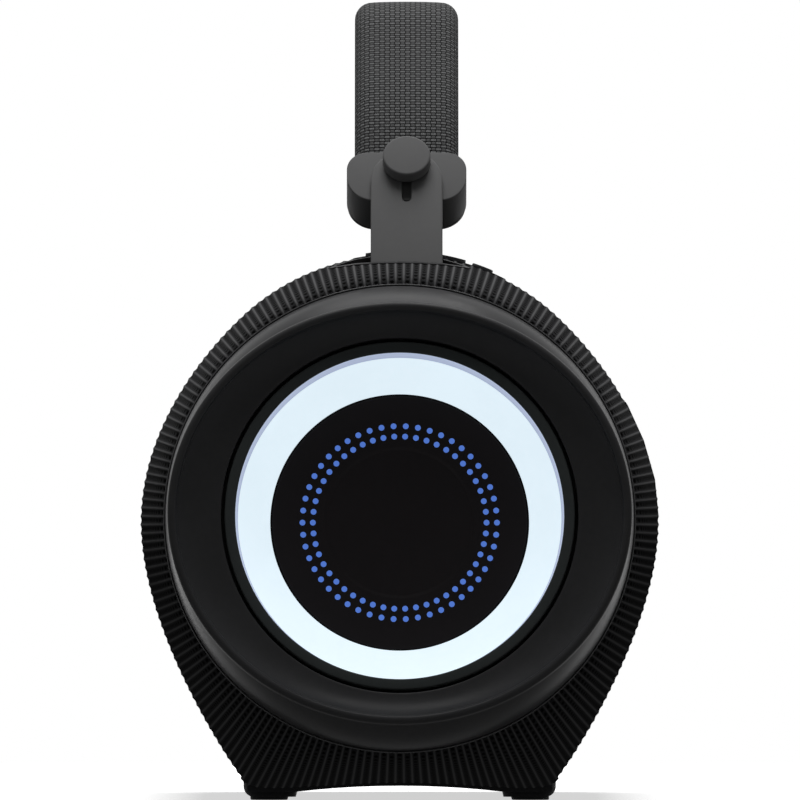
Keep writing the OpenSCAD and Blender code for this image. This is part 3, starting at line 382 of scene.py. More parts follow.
def knit_group():
    """Ribbed mesh knit on a UV map: U counts ribs, V counts stitches."""
    group, given, result = new_group(
        "ribbed_mesh", [("Vector", "NodeSocketVector", (0, 0, 0))],
        [("Ridge", "NodeSocketFloat"), ("Hole", "NodeSocketFloat"), ("Height", "NodeSocketFloat")])
    w = Wires(group)
    u, v, _ = w.split(given.outputs[0])
    across = w.math("FRACT", u)
    ridge = w.ramp(w.math("ABSOLUTE", w.math("SUBTRACT", across, 0.5)), 0.06, 0.2, 1.0, 0.0)
    # stitches on the ridge: small slanted loops
    slant = w.math("ADD", w.math("MULTIPLY", v, 2.0), across)
    loops = w.math("SINE", w.math("MULTIPLY", slant, 12.566))
    # holes in the valley, every other rib half a stitch further on
    shift = w.math("MULTIPLY", w.math("MODULO", w.math("FLOOR", w.math("ADD", u, 0.5)), 2.0), 0.5)
    along = w.math("SUBTRACT", w.math("FRACT", w.math("ADD", v, shift)), 0.5)
    valley = w.math("SUBTRACT", w.math("FRACT", w.math("ADD", u, 0.5)), 0.5)
    reach = w.math("SQRT", w.math("ADD",
                                  w.math("POWER", w.math("MULTIPLY", valley, 3.6), 2.0),
                                  w.math("POWER", w.math("MULTIPLY", along, 2.9), 2.0)))
    hole = w.ramp(reach, 0.7, 1.0, 1.0, 0.0)
    w.plug(ridge, result.inputs["Ridge"])
    w.plug(hole, result.inputs["Hole"])
    height = w.math("SUBTRACT", w.math("MULTIPLY_ADD", ridge, 0.6, w.math("MULTIPLY", loops, 0.12)),
                    w.math("MULTIPLY", hole, 0.9))
    w.plug(height, result.inputs["Height"])
    return group


def weave_group():
    """Coarse basket weave on a UV map: U counts warp threads, V counts weft threads."""
    group, given, result = new_group(
        "basket_weave", [("Vector", "NodeSocketVector", (0, 0, 0))],
        [("Thread", "NodeSocketFloat"), ("Gap", "NodeSocketFloat"), ("Height", "NodeSocketFloat")])
    w = Wires(group)
    u, v, _ = w.split(given.outputs[0])
    weft_over = w.math("MODULO", w.math("ADD", w.math("FLOOR", u), w.math("FLOOR", v)), 2.0)
    side_u = w.math("ABSOLUTE", w.math("SUBTRACT", w.math("FRACT", u), 0.5))
    side_v = w.math("ABSOLUTE", w.math("SUBTRACT", w.math("FRACT", v), 0.5))
    weft = w.math("MULTIPLY", w.ramp(side_v, 0.18, 0.44, 1.0, 0.0),
                  w.ramp(side_u, 0.36, 0.5, 1.0, 0.55))
    warp = w.math("MULTIPLY", w.ramp(side_u, 0.25, 0.48, 0.72, 0.0),
                  w.ramp(side_v, 0.1, 0.5, 1.0, 0.35))
    height = w.math("ADD", w.math("MULTIPLY", weft_over, weft),
                    w.math("MULTIPLY", w.math("SUBTRACT", 1.0, weft_over), warp))
    # the single filaments of a thread
    lines = w.math("SINE", w.math("MULTIPLY", w.math("ADD", w.math("MULTIPLY", v, 5.0),
                                                     w.math("MULTIPLY", u, 1.2)), 6.2832))
    w.plug(weft_over, result.inputs["Thread"])
    w.plug(w.ramp(height, 0.05, 0.5, 1.0, 0.0), result.inputs["Gap"])
    w.plug(w.math("MULTIPLY_ADD", lines, 0.06, height), result.inputs["Height"])
    return group


GRAIN, BRUSHED, KNIT, WEAVE = grain_group(), brushed_group(), knit_group(), weave_group()


# ---- materials -----------------------------------------------------------------------------------

def blank_material(name, specular, metallic=0.0):
    material = bpy.data.materials.new(name)
    material.use_nodes = True
    shader = material.node_tree.nodes["Principled BSDF"]
    shader.inputs["Specular IOR Level"].default_value = specular
    shader.inputs["Metallic"].default_value = metallic
    return material, shader, Wires(material.node_tree)


def rgb(r, g, b):
    return (r, g, b, 1.0)


def moulded(name, dark, light, rough=(0.4, 0.5), specular=0.05, depth=0.02, grain=2600.0):
    """Plastic or rubber with a moulded grain, its shade and gloss varied by handling marks."""
    material, shader, w = blank_material(name, specular)
    group = w.node("ShaderNodeGroup", node_tree=GRAIN)
    group.inputs[0].default_value = grain
    w.plug(w.mix(group.outputs["Marks"], dark, light), shader.inputs["Base Color"])
    w.plug(w.ramp(group.outputs["Marks"], 0.0, 1.0, *rough), shader.inputs["Roughness"])
    w.plug(w.bump(group.outputs["Grain"], 0.35, depth * MM), shader.inputs["Normal"])
    return material


def metal(name, dark, light):
    material, shader, w = blank_material(name, 0.5, 1.0)
    group = w.node("ShaderNodeGroup", node_tree=BRUSHED)
    w.plug(w.mix(group.outputs["Stains"], dark, light), shader.inputs["Base Color"])
    w.plug(w.ramp(group.outputs["Lines"], 0.3, 0.7, 0.25, 0.4), shader.inputs["Roughness"])
    w.plug(w.bump(group.outputs["Lines"], 0.2, 0.01 * MM), shader.inputs["Normal"])
    return material


def glowing(name, color, glow, strength):
    """Milky plastic lit from behind, with a very faint unevenness of the glow."""
    material, shader, w = blank_material(name, 0.05)
    group = w.node("ShaderNodeGroup", node_tree=GRAIN)
    w.plug(w.mix(group.outputs["Marks"], color, tuple(0.96 * c for c in color[:3]) + (1.0,)),
           shader.inputs["Base Color"])
    w.plug(w.mix(group.outputs["Marks"], glow, tuple(0.97 * c for c in glow[:3]) + (1.0,)),
           shader.inputs["Emission Color"])
    shader.inputs["Emission Strength"].default_value = strength
    shader.inputs["Roughness"].default_value = 0.35
    return material


def knit_material():
    material, shader, w = blank_material("ribbed_mesh_knit", 0.0)
    where = w.node("ShaderNodeUVMap").outputs[0]
    group = w.node("ShaderNodeGroup", node_tree=KNIT)
    w.plug(w.stretch(where, (RIBS, STITCH_SPAN / STITCH, 1.0)), group.inputs["Vector"])
    fibre = w.noise(w.stretch(where, (RIBS * 5, 1800.0, 1.0)), 1.0, 2.0)
    # painted highlight and shade: the rib ridges are coloured lighter and the valleys darker, standing
    # in for the light on the ribs
    yarn = w.mix(group.outputs["Ridge"], rgb(0.022, 0.022, 0.023), rgb(0.1, 0.1, 0.102))
    yarn = w.mix(w.math("MULTIPLY", fibre, 0.4), yarn, rgb(0.035, 0.035, 0.037))
    # painted shade: the holes of the mesh are coloured near black
    w.plug(w.mix(group.outputs["Hole"], yarn, rgb(0.003, 0.003, 0.003)), shader.inputs["Base Color"])
    shader.inputs["Roughness"].default_value = 0.9
    shader.inputs["Sheen Weight"].default_value = 0.04
    w.plug(w.bump(group.outputs["Height"], 0.8, 0.25 * MM), shader.inputs["Normal"])
    return material


def weave_material():
    material, shader, w = blank_material("basket_weave_webbing", 0.02)
    where = w.node("ShaderNodeUVMap").outputs[0]
    group = w.node("ShaderNodeGroup", node_tree=WEAVE)
    w.plug(where, group.inputs["Vector"])
    fibre = w.noise(w.stretch(where, (6.0, 14.0, 1.0)), 1.0, 3.0)
    yarn = w.mix(group.outputs["Thread"], rgb(0.075, 0.076, 0.077), rgb(0.15, 0.152, 0.154))
    yarn = w.mix(w.math("MULTIPLY", fibre, 0.55), yarn, rgb(0.05, 0.05, 0.05))
    # painted shade: the gaps between the threads are coloured near black
    w.plug(w.mix(group.outputs["Gap"], yarn, rgb(0.004, 0.004, 0.004)), shader.inputs["Base Color"])
    shader.inputs["Roughness"].default_value = 0.85
    shader.inputs["Sheen Weight"].default_value = 0.03
    w.plug(w.bump(group.outputs["Height"], 0.9, 0.3 * MM), shader.inputs["Normal"])
    return material


FINISH = {
    "sleeve_fabric": knit_material(),
    "strap_fabric": weave_material(),
    "shell_plastic": moulded("shell_plastic", rgb(.02, .02, .021), rgb(.026, .026, .027)),
    "base_plastic": moulded("base_plastic", rgb(.012, .012, .013), rgb(.018, .018, .019), (.5, .6)),
    "foot_rubber": moulded("foot_rubber", rgb(.014, .014, .014), rgb(.02, .02, .02), (.6, .75)),
    "screw_steel": metal("screw_steel", rgb(.35, .35, .36), rgb(.5, .5, .52)),
    "bezel_plastic": moulded("bezel_satin", rgb(.028, .028, .029), rgb(.032, .032, .033),
                             (.3, .36), .04, .008),
    "trim_gloss": moulded("trim_gloss", rgb(.05, .05, .052), rgb(.06, .06, .062),
                          (.15, .2), .1, .004),
    "gasket_rubber": moulded("gasket_rubber", rgb(.044, .049, .049), rgb(.050, .056, .056),
                             (.45, .55), .03, .01),
    "light_diffuser": glowing("diffuser_cone", rgb(.30, .33, .35), rgb(.74, .86, .93), 0.95),
    "circuit_board": moulded("circuit_board", rgb(.01, .08, .03), rgb(.015, .1, .04),
                             (.3, .45), .3),
    "frame_plastic": moulded("frame_plastic", rgb(.02, .02, .02), rgb(.028, .028, .028)),
    "roll_rubber": moulded("roll_rubber", rgb(.01, .01, .01), rgb(.014, .014, .014), (.55, .7)),
    "disc_plastic": moulded("disc_satin", rgb(.010, .0085, .009), rgb(.012, .010, .0105),
                            (.4, .5), .04, .008),
    "dot_lens": glowing("dot_lens", rgb(.03, .06, .2), rgb(.085, .19, .62), 0.85),
    "driver_steel": moulded("driver_enamel", rgb(.02, .02, .02), rgb(.03, .03, .03), (.35, .5), .3),
    "magnet": moulded("ferrite", rgb(.05, .05, .05), rgb(.08, .08, .08), (.5, .7), .3, .05, 900.0),
    "cone_pulp": moulded("cone_pulp", rgb(.015, .015, .015), rgb(.03, .03, .03),
                         (.7, .85), .1, .08, 900.0),
    "tweeter_metal": metal("tweeter_metal", rgb(.3, .3, .31), rgb(.42, .42, .44)),
    "battery_wrap": moulded("battery_wrap", rgb(.03, .1, .3), rgb(.05, .14, .36), (.2, .3), .4),
    "panel_rubber": moulded("panel_rubber", rgb(.022, .022, .024), rgb(.03, .03, .032),
                            (.55, .7), .05, .04, 1500.0),
    "key_rubber": moulded("key_rubber", rgb(.05, .05, .052), rgb(.062, .062, .064),
                          (.5, .65), .05, .04, 1500.0),
    "flap_rubber": moulded("flap_rubber", rgb(.018, .018, .02), rgb(.025, .025, .027),
                           (.55, .7), .05, .04, 1500.0),
    "pocket_plastic": moulded("pocket_plastic", rgb(.018, .018, .019), rgb(.024, .024, .025),
                              (.4, .5)),
    "bar_steel": metal("bar_steel", rgb(.16, .16, .17), rgb(.24, .24, .25)),
    "strap_rubber": moulded("strap_rubber", rgb(.112, .112, .113), rgb(.120, .120, .121),
                            (.55, .65), .05, .02, 1800.0),
}
DIFFUSER_WALL = glowing("diffuser_wall", rgb(.3, .32, .4), rgb(.33, .38, .52), 0.9)

for part in frame["record"]["subparts"]:
    mesh = cad_nodes[part["node"]].data
    mesh.materials.clear()
    mesh.materials.append(FINISH[part["material_slot"]])


# ---- fabric sleeve: a ribbed skin from the end circles to the full section -----------------------

def bezier(p, count):
    p = [Vector(q) for q in p]
    return [p[0] * (1 - t) ** 3 + p[1] * 3 * t * (1 - t) ** 2
            + p[2] * 3 * t * t * (1 - t) + p[3] * t ** 3
            for t in (i / count for i in range(1, count + 1))]


def half_outline():
    """Right half of the barrel's cross-section in Y and Z, from the top to the underside."""
    crown_r, crown_z, crown_a = 73.9, 99.7, math.radians(38)
    crown = [Vector((crown_r * math.sin(a), crown_z + crown_r * math.cos(a)))
             for a in (crown_a * i / 60 for i in range(61))]
    belly, sole = Vector((82.4, 88.4)), Vector((49.15, 5.5))
    down = Vector((math.cos(crown_a), -math.sin(crown_a)))
    lean = Vector((math.sin(math.radians(40)), math.cos(math.radians(40))))
    upper = bezier([crown[-1], crown[-1] + down * 8.4, belly + Vector((0, 36.8)), belly], 90)
    lower = bezier([belly, belly - Vector((0, 35)), sole + lean * 7.2, sole], 90)
    under = bezier([sole, sole - lean * 5, (22, 5.5), (0, 5.5)], 40)
    return crown + upper + lower + under


def even_outline(count):
    """The whole outline from the middle of the underside, at equal steps round it."""
    half = half_outline()
    loop = [(p.x, p.y) for p in reversed(half)] + [(-p.x, p.y) for p in half[1:]]
    loop = np.array(loop)
    run = np.concatenate([[0], np.cumsum(np.linalg.norm(np.diff(loop, axis=0), axis=1))])
    places = np.linspace(0, run[-1], count + 1)
    return np.stack([np.interp(places, run, loop[:, k]) for k in (0, 1)], axis=1)


def grid_piece(name, places, uvs):
    """A primitive grid whose points go to their places; the seam is merged afterwards."""
    rows, columns = places.shape[:2]
    clear_selection()
    bpy.ops.mesh.primitive_grid_add(x_subdivisions=columns - 1, y_subdivisions=rows - 1, size=1)
    piece = bpy.context.object
    piece.name = piece.data.name = name
    mesh = piece.data
    mesh.vertices.foreach_set("co", (places * MM).reshape(-1).astype(np.float32))
    corner = np.zeros(len(mesh.loops), np.int32)
    mesh.loops.foreach_get("vertex_index", corner)
    mesh.uv_layers[0].data.foreach_set("uv", uvs.reshape(-1, 2)[corner].reshape(-1).astype(np.float32))
    mesh.update()
    bpy.ops.object.mode_set(mode="EDIT")
    return close_mesh(piece)


def sleeve_places():
    columns = RIBS * 4
    section = even_outline(columns)
    angle = np.arctan2(section[:, 1] - END_Z, section[:, 0])
    up = np.array([-math.sin(FACE_TILT), 0, math.cos(FACE_TILT)])
    end = np.array([END_X, 0, END_Z]) + END_R * (
        np.cos(angle)[:, None] * np.array([0, 1, 0]) + np.sin(angle)[:, None] * up)
    full = np.stack([np.full(columns + 1, FULL_X), section[:, 0], section[:, 1]], axis=1)
    rings = []
    for a in [math.pi / 2 * i / 20 for i in range(21)]:
        ring = np.empty_like(full)
        ring[:, 0] = end[:, 0] + (FULL_X - end[:, 0]) * (1 - math.cos(a))
        ring[:, 1:] = end[:, 1:] + (full[:, 1:] - end[:, 1:]) * math.sin(a)
        rings.append(ring)
    left = [r * np.array([-1, 1, 1]) for r in reversed(rings)]
    middle = [full * np.array([x / FULL_X, 1, 1]) for x in (64, 32, 0, -32, -64)]
    places = np.stack(rings + middle + left)
    steps = np.linalg.norm(np.diff(places, axis=0), axis=2)
    run = np.concatenate([np.zeros((1, columns + 1)), np.cumsum(steps, axis=0)])
    run -= run[len(run) // 2]
    uvs = np.stack([np.broadcast_to(np.arange(columns + 1) / columns, run.shape),
                    run / STITCH_SPAN + 0.5], axis=2)
    # the ribs: every fourth column stands at full height, the others lie lower
    around = np.roll(places[:, :-1], -1, axis=1) - np.roll(places[:, :-1], 1, axis=1)
    along = np.gradient(places[:, :-1], axis=0)
    normal = np.cross(along, around)
    normal /= np.linalg.norm(normal, axis=2, keepdims=True)
    centre = places[:, :-1] - np.array([0, 0, END_Z])
    normal *= np.sign(np.sum(normal * centre * np.array([0, 1, 1]), axis=2, keepdims=True))
    depth = RIB_CUT * np.array([1.0, 0.62, 0.0, 0.62])[np.arange(columns) % 4]
    places[:, :-1] -= normal * depth[None, :, None]
    places[:, -1] = places[:, 0]
    return places, uvs


def cutter_box(name, low, high):
    clear_selection()
    bpy.ops.mesh.primitive_cube_add(size=1)
    piece = bpy.context.object
    piece.name = name
    low, high = Vector(low) * MM, Vector(high) * MM
    return move(piece, Matrix.Translation((low + high) / 2) @ Matrix.Diagonal((high - low).to_4d()))


def lens(half_l, half_w, steps=24):
    r = (half_l ** 2 + half_w ** 2) / (2 * half_l)
    reach = math.asin(half_w / r)
    side = [(r * math.cos(a) - (r - half_l), r * math.sin(a))
            for a in (reach * (2 * i / steps - 1) for i in range(steps + 1))]
    return side + [(-x, -y) for x, y in side[1:-1]]


def plate(w, h, corner, low=0.0):
    return rounded([(-w / 2, low, corner), (w / 2, low, corner), (w / 2, low + h, corner),
                    (-w / 2, low + h, corner)])


sleeve = grid_piece("fabric_sleeve_finished", *sleeve_places())
apply_modifier(sleeve, "SOLIDIFY", thickness=0.8 * MM, offset=-1, use_even_offset=False)
cutters = []
for side in (1, -1):
    mouth = [(x + side * POCKET_X, y) for x, y in lens(MOUTH_L + POCKET_LIP, MOUTH_W + POCKET_LIP)]
    cutters.append(prism("pocket_cutter", mouth, 150, 190))
panel_low, panel_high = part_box("control_panel")
cutters.append(prism("panel_cutter", [
    (x, y + (panel_low.y - 0.0001) / MM) for x, y in
    plate(2 * panel_high.x / MM + 0.2, (panel_high.y - panel_low.y) / MM + 0.2, 6)],
    150, 190))
flap_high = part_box("port_flap")[1]
cutters.append(cutter_box("flap_cutter", (-36.1, 62, 85), (36.1, 90, flap_high.z / MM + 0.1)))
base_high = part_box("base_plate")[1]
cutters.append(cutter_box("base_cutter", (-98.1, -90, -20), (98.1, 90, base_high.z / MM + 0.1)))
cut(sleeve, join(cutters))
settle(sleeve, "fabric_sleeve", "root", FINISH["sleeve_fabric"], 60)


# ---- end rings -----------------------------------------------------------------------------------

CREST_IN, CREST_OUT = CREST_R - CREST_TURN, CREST_R + CREST_TURN
bezel_profile = (
    [(74.2, -1.4), (74.2, -0.2)]
    + bowed((BEZEL_R, 0.1), (CREST_OUT, CREST_Z), -1.1, 24)
    + [(CREST_R + CREST_TURN * math.cos(a), CREST_Z + CREST_TURN * math.sin(a))
       for a in (math.radians(15 * i) for i in range(1, 12))]
    + bowed((CREST_IN, 13.3), (DISH_EDGE, 8.5), 0.9, 20)
    + [(56.62, 8.36), (56.5, 8.1), (56.5, -1.4), (59.1, -1.4), (59.1, 5.8), (65.8, 10.4),
       (67.7, 7.8), (67.7, -7.4), (70.7, -7.4), (70.7, -1.4)])
bezel = turned("bezel", bezel_profile, SPIN_STEPS)
# the round crest is drawn out sideways to an oval; the edges on both sides of it stay round
for vertex in bezel.data.vertices:
    x, y, z = vertex.co / MM
    r = math.hypot(x, y)
    if r < DISH_EDGE or z < 0.05:
        continue
    spread = 1 / math.hypot(x / r / CREST_R, y / r / CREST_SIDE_R) - CREST_R
    if r > CREST_OUT:
        grown = r + spread * max(0, BEZEL_R - r) / (BEZEL_R - CREST_OUT)
    elif r < CREST_IN:
        grown = r + spread * (r - DISH_EDGE) / (CREST_IN - DISH_EDGE)
    else:
        grown = r + spread
    vertex.co.x, vertex.co.y = x / r * grown * MM, y / r * grown * MM
both_ends(bezel, "end_bezel", "root", FINISH["bezel_plastic"], AT_END, 40)

trim_profile = rounded([(74.25, -1.4, 0), (74.8, -1.4, 0), (74.8, 0.5, 0.24), (74.25, 0.5, 0.24)], 4)
both_ends(turned("trim", trim_profile, SPIN_STEPS), "trim_ring", "root",
          FINISH["trim_gloss"], AT_END, 50)

gasket_profile = rounded([(55.4, -1.4, 0), (55.4, 7.9, 0.5), (52.0, 7.9, 0.5), (52.0, 7.0, 0),
                          (53.6, 7.0, 0), (53.6, -1.4, 0)], 5)
both_ends(turned("gasket", gasket_profile, SPIN_STEPS), "gasket_ring", "root",
          FINISH["gasket_rubber"], AT_END, 40)

ring_profile = [(52.0, 7.0), (51.4, 0.5), (51.2, 0.05), (50.8, -0.35)] + [
    (50.8 + (41.2 - 50.8) * t, -0.35 + (-9.35 + 0.35) * t) for t in (0.25, 0.5, 0.75, 1.0)] + [
    (41.0, -9.6), (41.0, -11.4), (41.9, -11.4), (51.2, -2.6), (51.2, -1.4), (53.4, -1.4),
    (53.4, 7.0)]
light_ring = turned("light_ring", ring_profile, SPIN_STEPS)
light_ring.data.materials.append(FINISH["light_diffuser"])
light_ring.data.materials.append(DIFFUSER_WALL)
for face in light_ring.data.polygons:
    reach = math.hypot(face.center.x, face.center.y) / MM
    face.material_index = int(reach > 51.25 and face.center.z / MM > 0.2)
both_ends(light_ring, "light_ring", "root", None, AT_END, 25)

disc_profile = [
    (0, -16.8), (0, -11.5), (22.9, -11.5), (23.3, -11.45), (24.0, -11.05), (24.4, DISC_FACE),
    (39.7, DISC_FACE), (40.1, -11.08), (40.32, -11.3), (DISC_R, -11.7), (DISC_R, -15.2),
    (43.0, -15.2), (43.0, -16.8)]
both_ends(turned("disc", disc_profile, 192, closed=False), "radiator_disc", "radiator_{side}",
          FINISH["disc_plastic"], AT_END, 30)

dot_profile = [(0, 0.15), (0.55, 0.14), (0.86, 0.09), (1.0, -0.1), (0, -0.1)]
dot = turned("dot", dot_profile, 16)
dots = []
for reach in DOT_ROWS:
    for i in range(DOTS_ROUND):
        turn = Matrix.Rotation(2 * math.pi * (i + 0.5) / DOTS_ROUND, 4, "Z")
        dots.append(move(copy_of(dot, "dot"),
                         turn @ Matrix.Translation((reach * MM, 0, DISC_FACE * MM))))
bpy.data.objects.remove(dot)
both_ends(join(dots), "marker_dots", "radiator_{side}", FINISH["dot_lens"], AT_END, 80)


# ---- strap handle --------------------------------------------------------------------------------

def strap_line():
    """Stations along the strap's middle: X, Z, lean from upright and length run."""
    lean, flank, bend_low, bend_high = TAB_LEAN, FLANK_LEAN, LOWER_BEND, UPPER_BEND
    out = Vector((math.cos(lean), math.sin(lean)))
    up = Vector((-math.sin(lean), math.cos(lean)))
    top = Vector((BAR_X, BAR_Z)) + STRAP_MID * out + CAP_TOP * up
    centre = top - bend_low * out
    flank_out = Vector((math.cos(flank), math.sin(flank)))
    flank_up = Vector((-math.sin(flank), math.cos(flank)))
    low = centre + bend_low * flank_out
    crown = HEIGHT - STRAP_T / 2
    rise = crown - low.y - bend_high * (1 - math.sin(flank))
    high = low + flank_up * rise / math.cos(flank)
    centre_2 = high - bend_high * flank_out
    line = [(top - up * (CAP_TOP - STRAP_FOOT) * (1 - i / 6), lean) for i in range(6)]
    line += [(centre + bend_low * Vector((math.cos(a), math.sin(a))), a)
             for a in np.linspace(lean, flank, 16)]
    line += [(low + (high - low) * i / 8, flank) for i in range(1, 8)]
    line += [(centre_2 + bend_high * Vector((math.cos(a), math.sin(a))), a)
             for a in np.linspace(flank, math.pi / 2, 16)]
    last = line[-1][0].x
    line += [(Vector((last * (1 - i / 6), crown)), math.pi / 2) for i in range(1, 6)]
    line += [(Vector((-p.x, p.y)), math.pi - a) for p, a in reversed(line)]
    return line


def strap_section(width, thick, edge_steps=14, flat_steps=26):
    """Flattened ring of the padded strap: first across its thickness, then across its width."""
    points = []
    for side in (0, 1):
        turn = math.pi * side
        sign = 1 - 2 * side
        for i in range(edge_steps + 1):
            a = turn + math.pi * i / edge_steps
            points.append((thick / 2 * math.cos(a),
                           sign * (width - thick) / 2 + thick / 2 * math.sin(a)))
        for i in range(1, flat_steps):
            t = i / flat_steps
            y = sign * (width - thick) / 2 * (1 - 2 * t)
            swell = CROWN_SWELL * (4 * t * (1 - t)) ** 0.7
            points.append((-sign * (thick / 2 + swell), y))
    return points


line = strap_line()
section = strap_section(STRAP_W, STRAP_T - 0.5)
section.append(section[0])
ring_steps = [math.dist(a, b) for a, b in zip(section, section[1:])]
line_steps = [(b[0] - a[0]).length for a, b in zip(line, line[1:])]
ring_run = np.concatenate([[0], np.cumsum(ring_steps)])
line_run = np.concatenate([[0], np.cumsum(line_steps)])
threads_round = 2 * round(ring_run[-1] / WARP / 2)
strap_places = np.array([[(p.x + d * math.cos(a), STRAP_SHIFT + y, p.y + d * math.sin(a))
                          for d, y in section] for p, a in line])
strap_uvs = np.stack(
    [np.broadcast_to(ring_run / ring_run[-1] * threads_round, strap_places.shape[:2]),
     np.broadcast_to((line_run / WEFT)[:, None], strap_places.shape[:2])], axis=2)
strap = grid_piece("handle_grip_finished", strap_places, strap_uvs)
settle(strap, "handle_grip", "handle", FINISH["strap_fabric"], 80)

cap_low = CAP_TOP - CAP_LENGTH
cap_outline = rounded([(-CAP_W / 2, cap_low, CAP_R_LOW), (CAP_W / 2, cap_low, CAP_R_LOW),
                       (CAP_W / 2, CAP_TOP, CAP_R_UP), (-CAP_W / 2, CAP_TOP, CAP_R_UP)], 12)
cap = prism("cap", cap_outline, CAP_FRONT - CAP_T, CAP_FRONT, CAP_EDGE, 8)
move(cap, LEG_PLATE)
SNUG = 0.1
slot = prism("cap_slot", plate(STRAP_W + SNUG, STRAP_T + SNUG, 5.7, -(STRAP_T + SNUG) / 2), 35, 60)
move(slot, Matrix.Translation((STRAP_MID * MM, 0, 0)) @ Matrix.Rotation(math.pi / 2, 4, "Z"))
cut(cap, slot)
both_ends(cap, "handle_cap", "handle", FINISH["strap_rubber"], AT_LEG, 30)

tab_outline = [(-TAB_W / 2, 0.0), (TAB_W / 2, 0.0)] + [
    (TAB_W / 2 * math.cos(a), TAB_LENGTH - TAB_W / 2 + TAB_W / 2 * math.sin(a))
    for a in (math.pi * i / 40 for i in range(41))]
tab = prism("tab", tab_outline, TAB_FACE - TAB_T, TAB_FACE, TAB_EDGE, 3)
move(tab, LEG_PLATE)
slit = rounded([(-SLIT_HALF, SLIT_LOW, 1.5), (SLIT_HALF, SLIT_LOW, 1.5),
                (SLIT_HALF, SLIT_TOP, 0), (-SLIT_HALF, SLIT_TOP, 0)], 8)
cut(tab, move(prism("tab_slot", slit, -1, 8), LEG_PLATE))
loop_section = rounded([(BAR_BORE, -TAB_W / 2, 0), (TAB_FACE, -TAB_W / 2, TAB_EDGE),
                        (TAB_FACE, TAB_W / 2, TAB_EDGE), (BAR_BORE, TAB_W / 2, 0)], 4)
loop = turned("tab_loop", loop_section, 72)
move(loop, Matrix.Rotation(math.pi / 2, 4, "X"))
both_ends(join([tab, loop]), "handle_tab", "handle", FINISH["strap_rubber"], AT_LEG, 35)

stud_profile = [(0, 0.95), (NECK_R, 0.95), (NECK_R, TAB_FACE + 0.05)] + rounded(
    [(NECK_R, TAB_FACE + 0.05, 0), (7.0, TAB_FACE + 0.05, 0.4), (STUD_D / 2, TAB_FACE + 1.0, 0.5),
     (STUD_D / 2, TAB_FACE + STUD_RISE, 0.7), (0, TAB_FACE + STUD_RISE, 0)], 6)[1:]
stud = turned("stud", stud_profile, 96, closed=False)
move(stud, Matrix.Translation((0, 0, STUD_S * MM)) @ Matrix.Rotation(math.pi / 2, 4, "Y"))
both_ends(stud, "handle_stud", "handle", FINISH["strap_rubber"], AT_LEG, 30)


# ---- moulded pieces that keep their form and get softened edges ----------------------------------

def softened(node, body, slot, width):
    """A merged copy of a node with its edges rounded."""
    piece = copy_of(cad_nodes[node], f"{node}_finished")
    piece.parent = None
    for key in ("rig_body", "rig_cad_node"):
        if key in piece:
            del piece[key]
    select_only(piece)
    bpy.ops.object.mode_set(mode="EDIT")
    bpy.ops.mesh.select_all(action="SELECT")
    bpy.ops.mesh.remove_doubles(threshold=2e-6)
    bpy.ops.mesh.dissolve_limited(angle_limit=math.radians(1.0))
    bpy.ops.object.mode_set(mode="OBJECT")
    apply_modifier(piece, "BEVEL", width=width * MM, segments=3, limit_method="ANGLE",
                   angle_limit=math.radians(40), use_clamp_overlap=True, harden_normals=False)
    settle(piece, node, body, FINISH[slot], 35)


for node, body, width in (
        ("control_panel", "root", 0.2), ("minus_button", "minus_button", 0.5),
        ("play_button", "play_button", 0.5),
        ("plus_button", "plus_button", 0.5), ("power_button", "power_button", 0.4),
        ("pairing_button", "pairing_button", 0.4), ("link_button", "link_button", 0.4),
        ("base_plate", "root", 0.3), ("foot_rail_front", "root", 0.5), ("foot_rail_rear", "root", 0.5),
        ("foot_pad_front", "root", 0.4), ("foot_pad_rear", "root", 0.4)):
    slot_name = next(p["material_slot"] for p in frame["record"]["subparts"] if p["node"] == node)
    softened(node, body, slot_name, width)


# ---- floor, light and camera ---------------------------------------------------------------------

def white_rays(w):
    """One for camera, glossy and transmission rays, which see the white studio."""
    path = w.node("ShaderNodeLightPath").outputs
    seen = w.math("MAXIMUM", path["Is Camera Ray"], path["Is Glossy Ray"])
    return w.math("MAXIMUM", seen, path["Is Transmission Ray"])


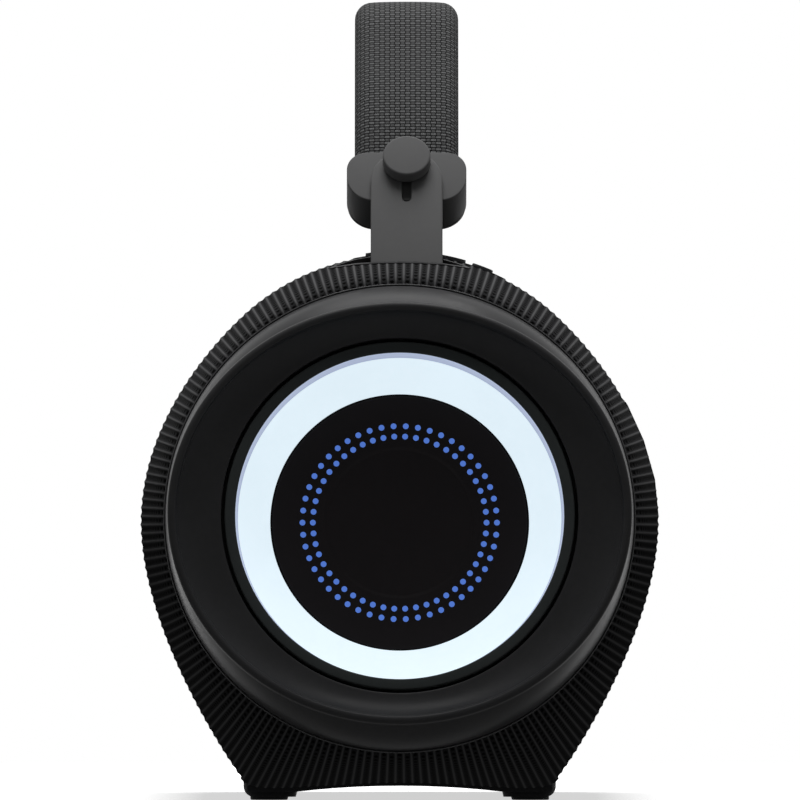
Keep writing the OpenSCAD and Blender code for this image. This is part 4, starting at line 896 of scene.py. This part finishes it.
clear_selection()
bpy.ops.mesh.primitive_circle_add(vertices=96, radius=FLOOR_R, fill_type="NGON", location=(0, 0, 0))
floor = bpy.context.object
floor.name = "studio_floor"
floor_material = bpy.data.materials.new("studio_floor")
floor_material.use_nodes = True
w = Wires(floor_material.node_tree)
w.tree.nodes.clear()
where = w.node("ShaderNodeTexCoord").outputs["Object"]
reach = w.node("ShaderNodeVectorMath", operation="LENGTH")
w.plug(where, reach.inputs[0])
diffuse = w.node("ShaderNodeBsdfDiffuse")
speck = w.noise(where, 900.0, 2.0)
w.plug(w.mix(speck, rgb(.84, .84, .84), rgb(.88, .88, .88)), diffuse.inputs["Color"])
emission = w.node("ShaderNodeEmission")
glow = w.ramp(reach.outputs["Value"], GLOW_NEAR, GLOW_FAR, GLOW_LEAST, 1.0)
w.plug(w.math("MULTIPLY", glow, white_rays(w)), emission.inputs["Strength"])
add = w.node("ShaderNodeAddShader")
w.plug(diffuse.outputs[0], add.inputs[0])
w.plug(emission.outputs[0], add.inputs[1])
output = w.node("ShaderNodeOutputMaterial")
w.plug(add.outputs[0], output.inputs["Surface"])
floor.data.materials.append(floor_material)
floor.visible_diffuse = False

world = bpy.data.worlds.new("studio")
bpy.context.scene.world = world
world.use_nodes = True
w = Wires(world.node_tree)
background = world.node_tree.nodes["Background"]
background.inputs["Color"].default_value = rgb(1, 1, 1)
w.plug(w.ramp(white_rays(w), 0.0, 1.0, WORLD_FILL, 1.0), background.inputs["Strength"])


def soft_light(name, place, aim, width, height, radiance):
    """A square-on area lamp whose face has the given radiance."""
    lamp = bpy.data.lights.new(name, "AREA")
    lamp.shape = "RECTANGLE"
    lamp.size, lamp.size_y = width, height
    lamp.energy = radiance * math.pi * width * height
    item = bpy.data.objects.new(name, lamp)
    bpy.context.scene.collection.objects.link(item)
    item.location = place
    item.rotation_mode = "QUATERNION"
    item.rotation_quaternion = (Vector(aim) - Vector(place)).to_track_quat("-Z", "Y")


soft_light("softbox_above", (-0.05, 0, 1.35), (0, 0, 0.1), 0.8, 1.5, 6.0)

camera_data = bpy.data.cameras.new("camera")
camera = bpy.data.objects.new("camera", camera_data)
bpy.context.scene.collection.objects.link(camera)
camera.location = (CAMERA_DISTANCE, CAMERA_Y, CAMERA_Z)
camera.rotation_mode = "QUATERNION"
camera.rotation_quaternion = Vector((-1, 0, 0)).to_track_quat("-Z", "Y")
camera_data.sensor_width = SENSOR
# SCALE picture points to a millimetre, at SCALE_PLANE from the middle of the speaker
camera_data.lens = SCALE / MM * (CAMERA_DISTANCE - SCALE_PLANE) / PICTURE * SENSOR
camera_data.clip_start, camera_data.clip_end = 1.0, 60.0
bpy.context.scene.camera = camera
bpy.context.scene.view_settings.view_transform = "Standard"
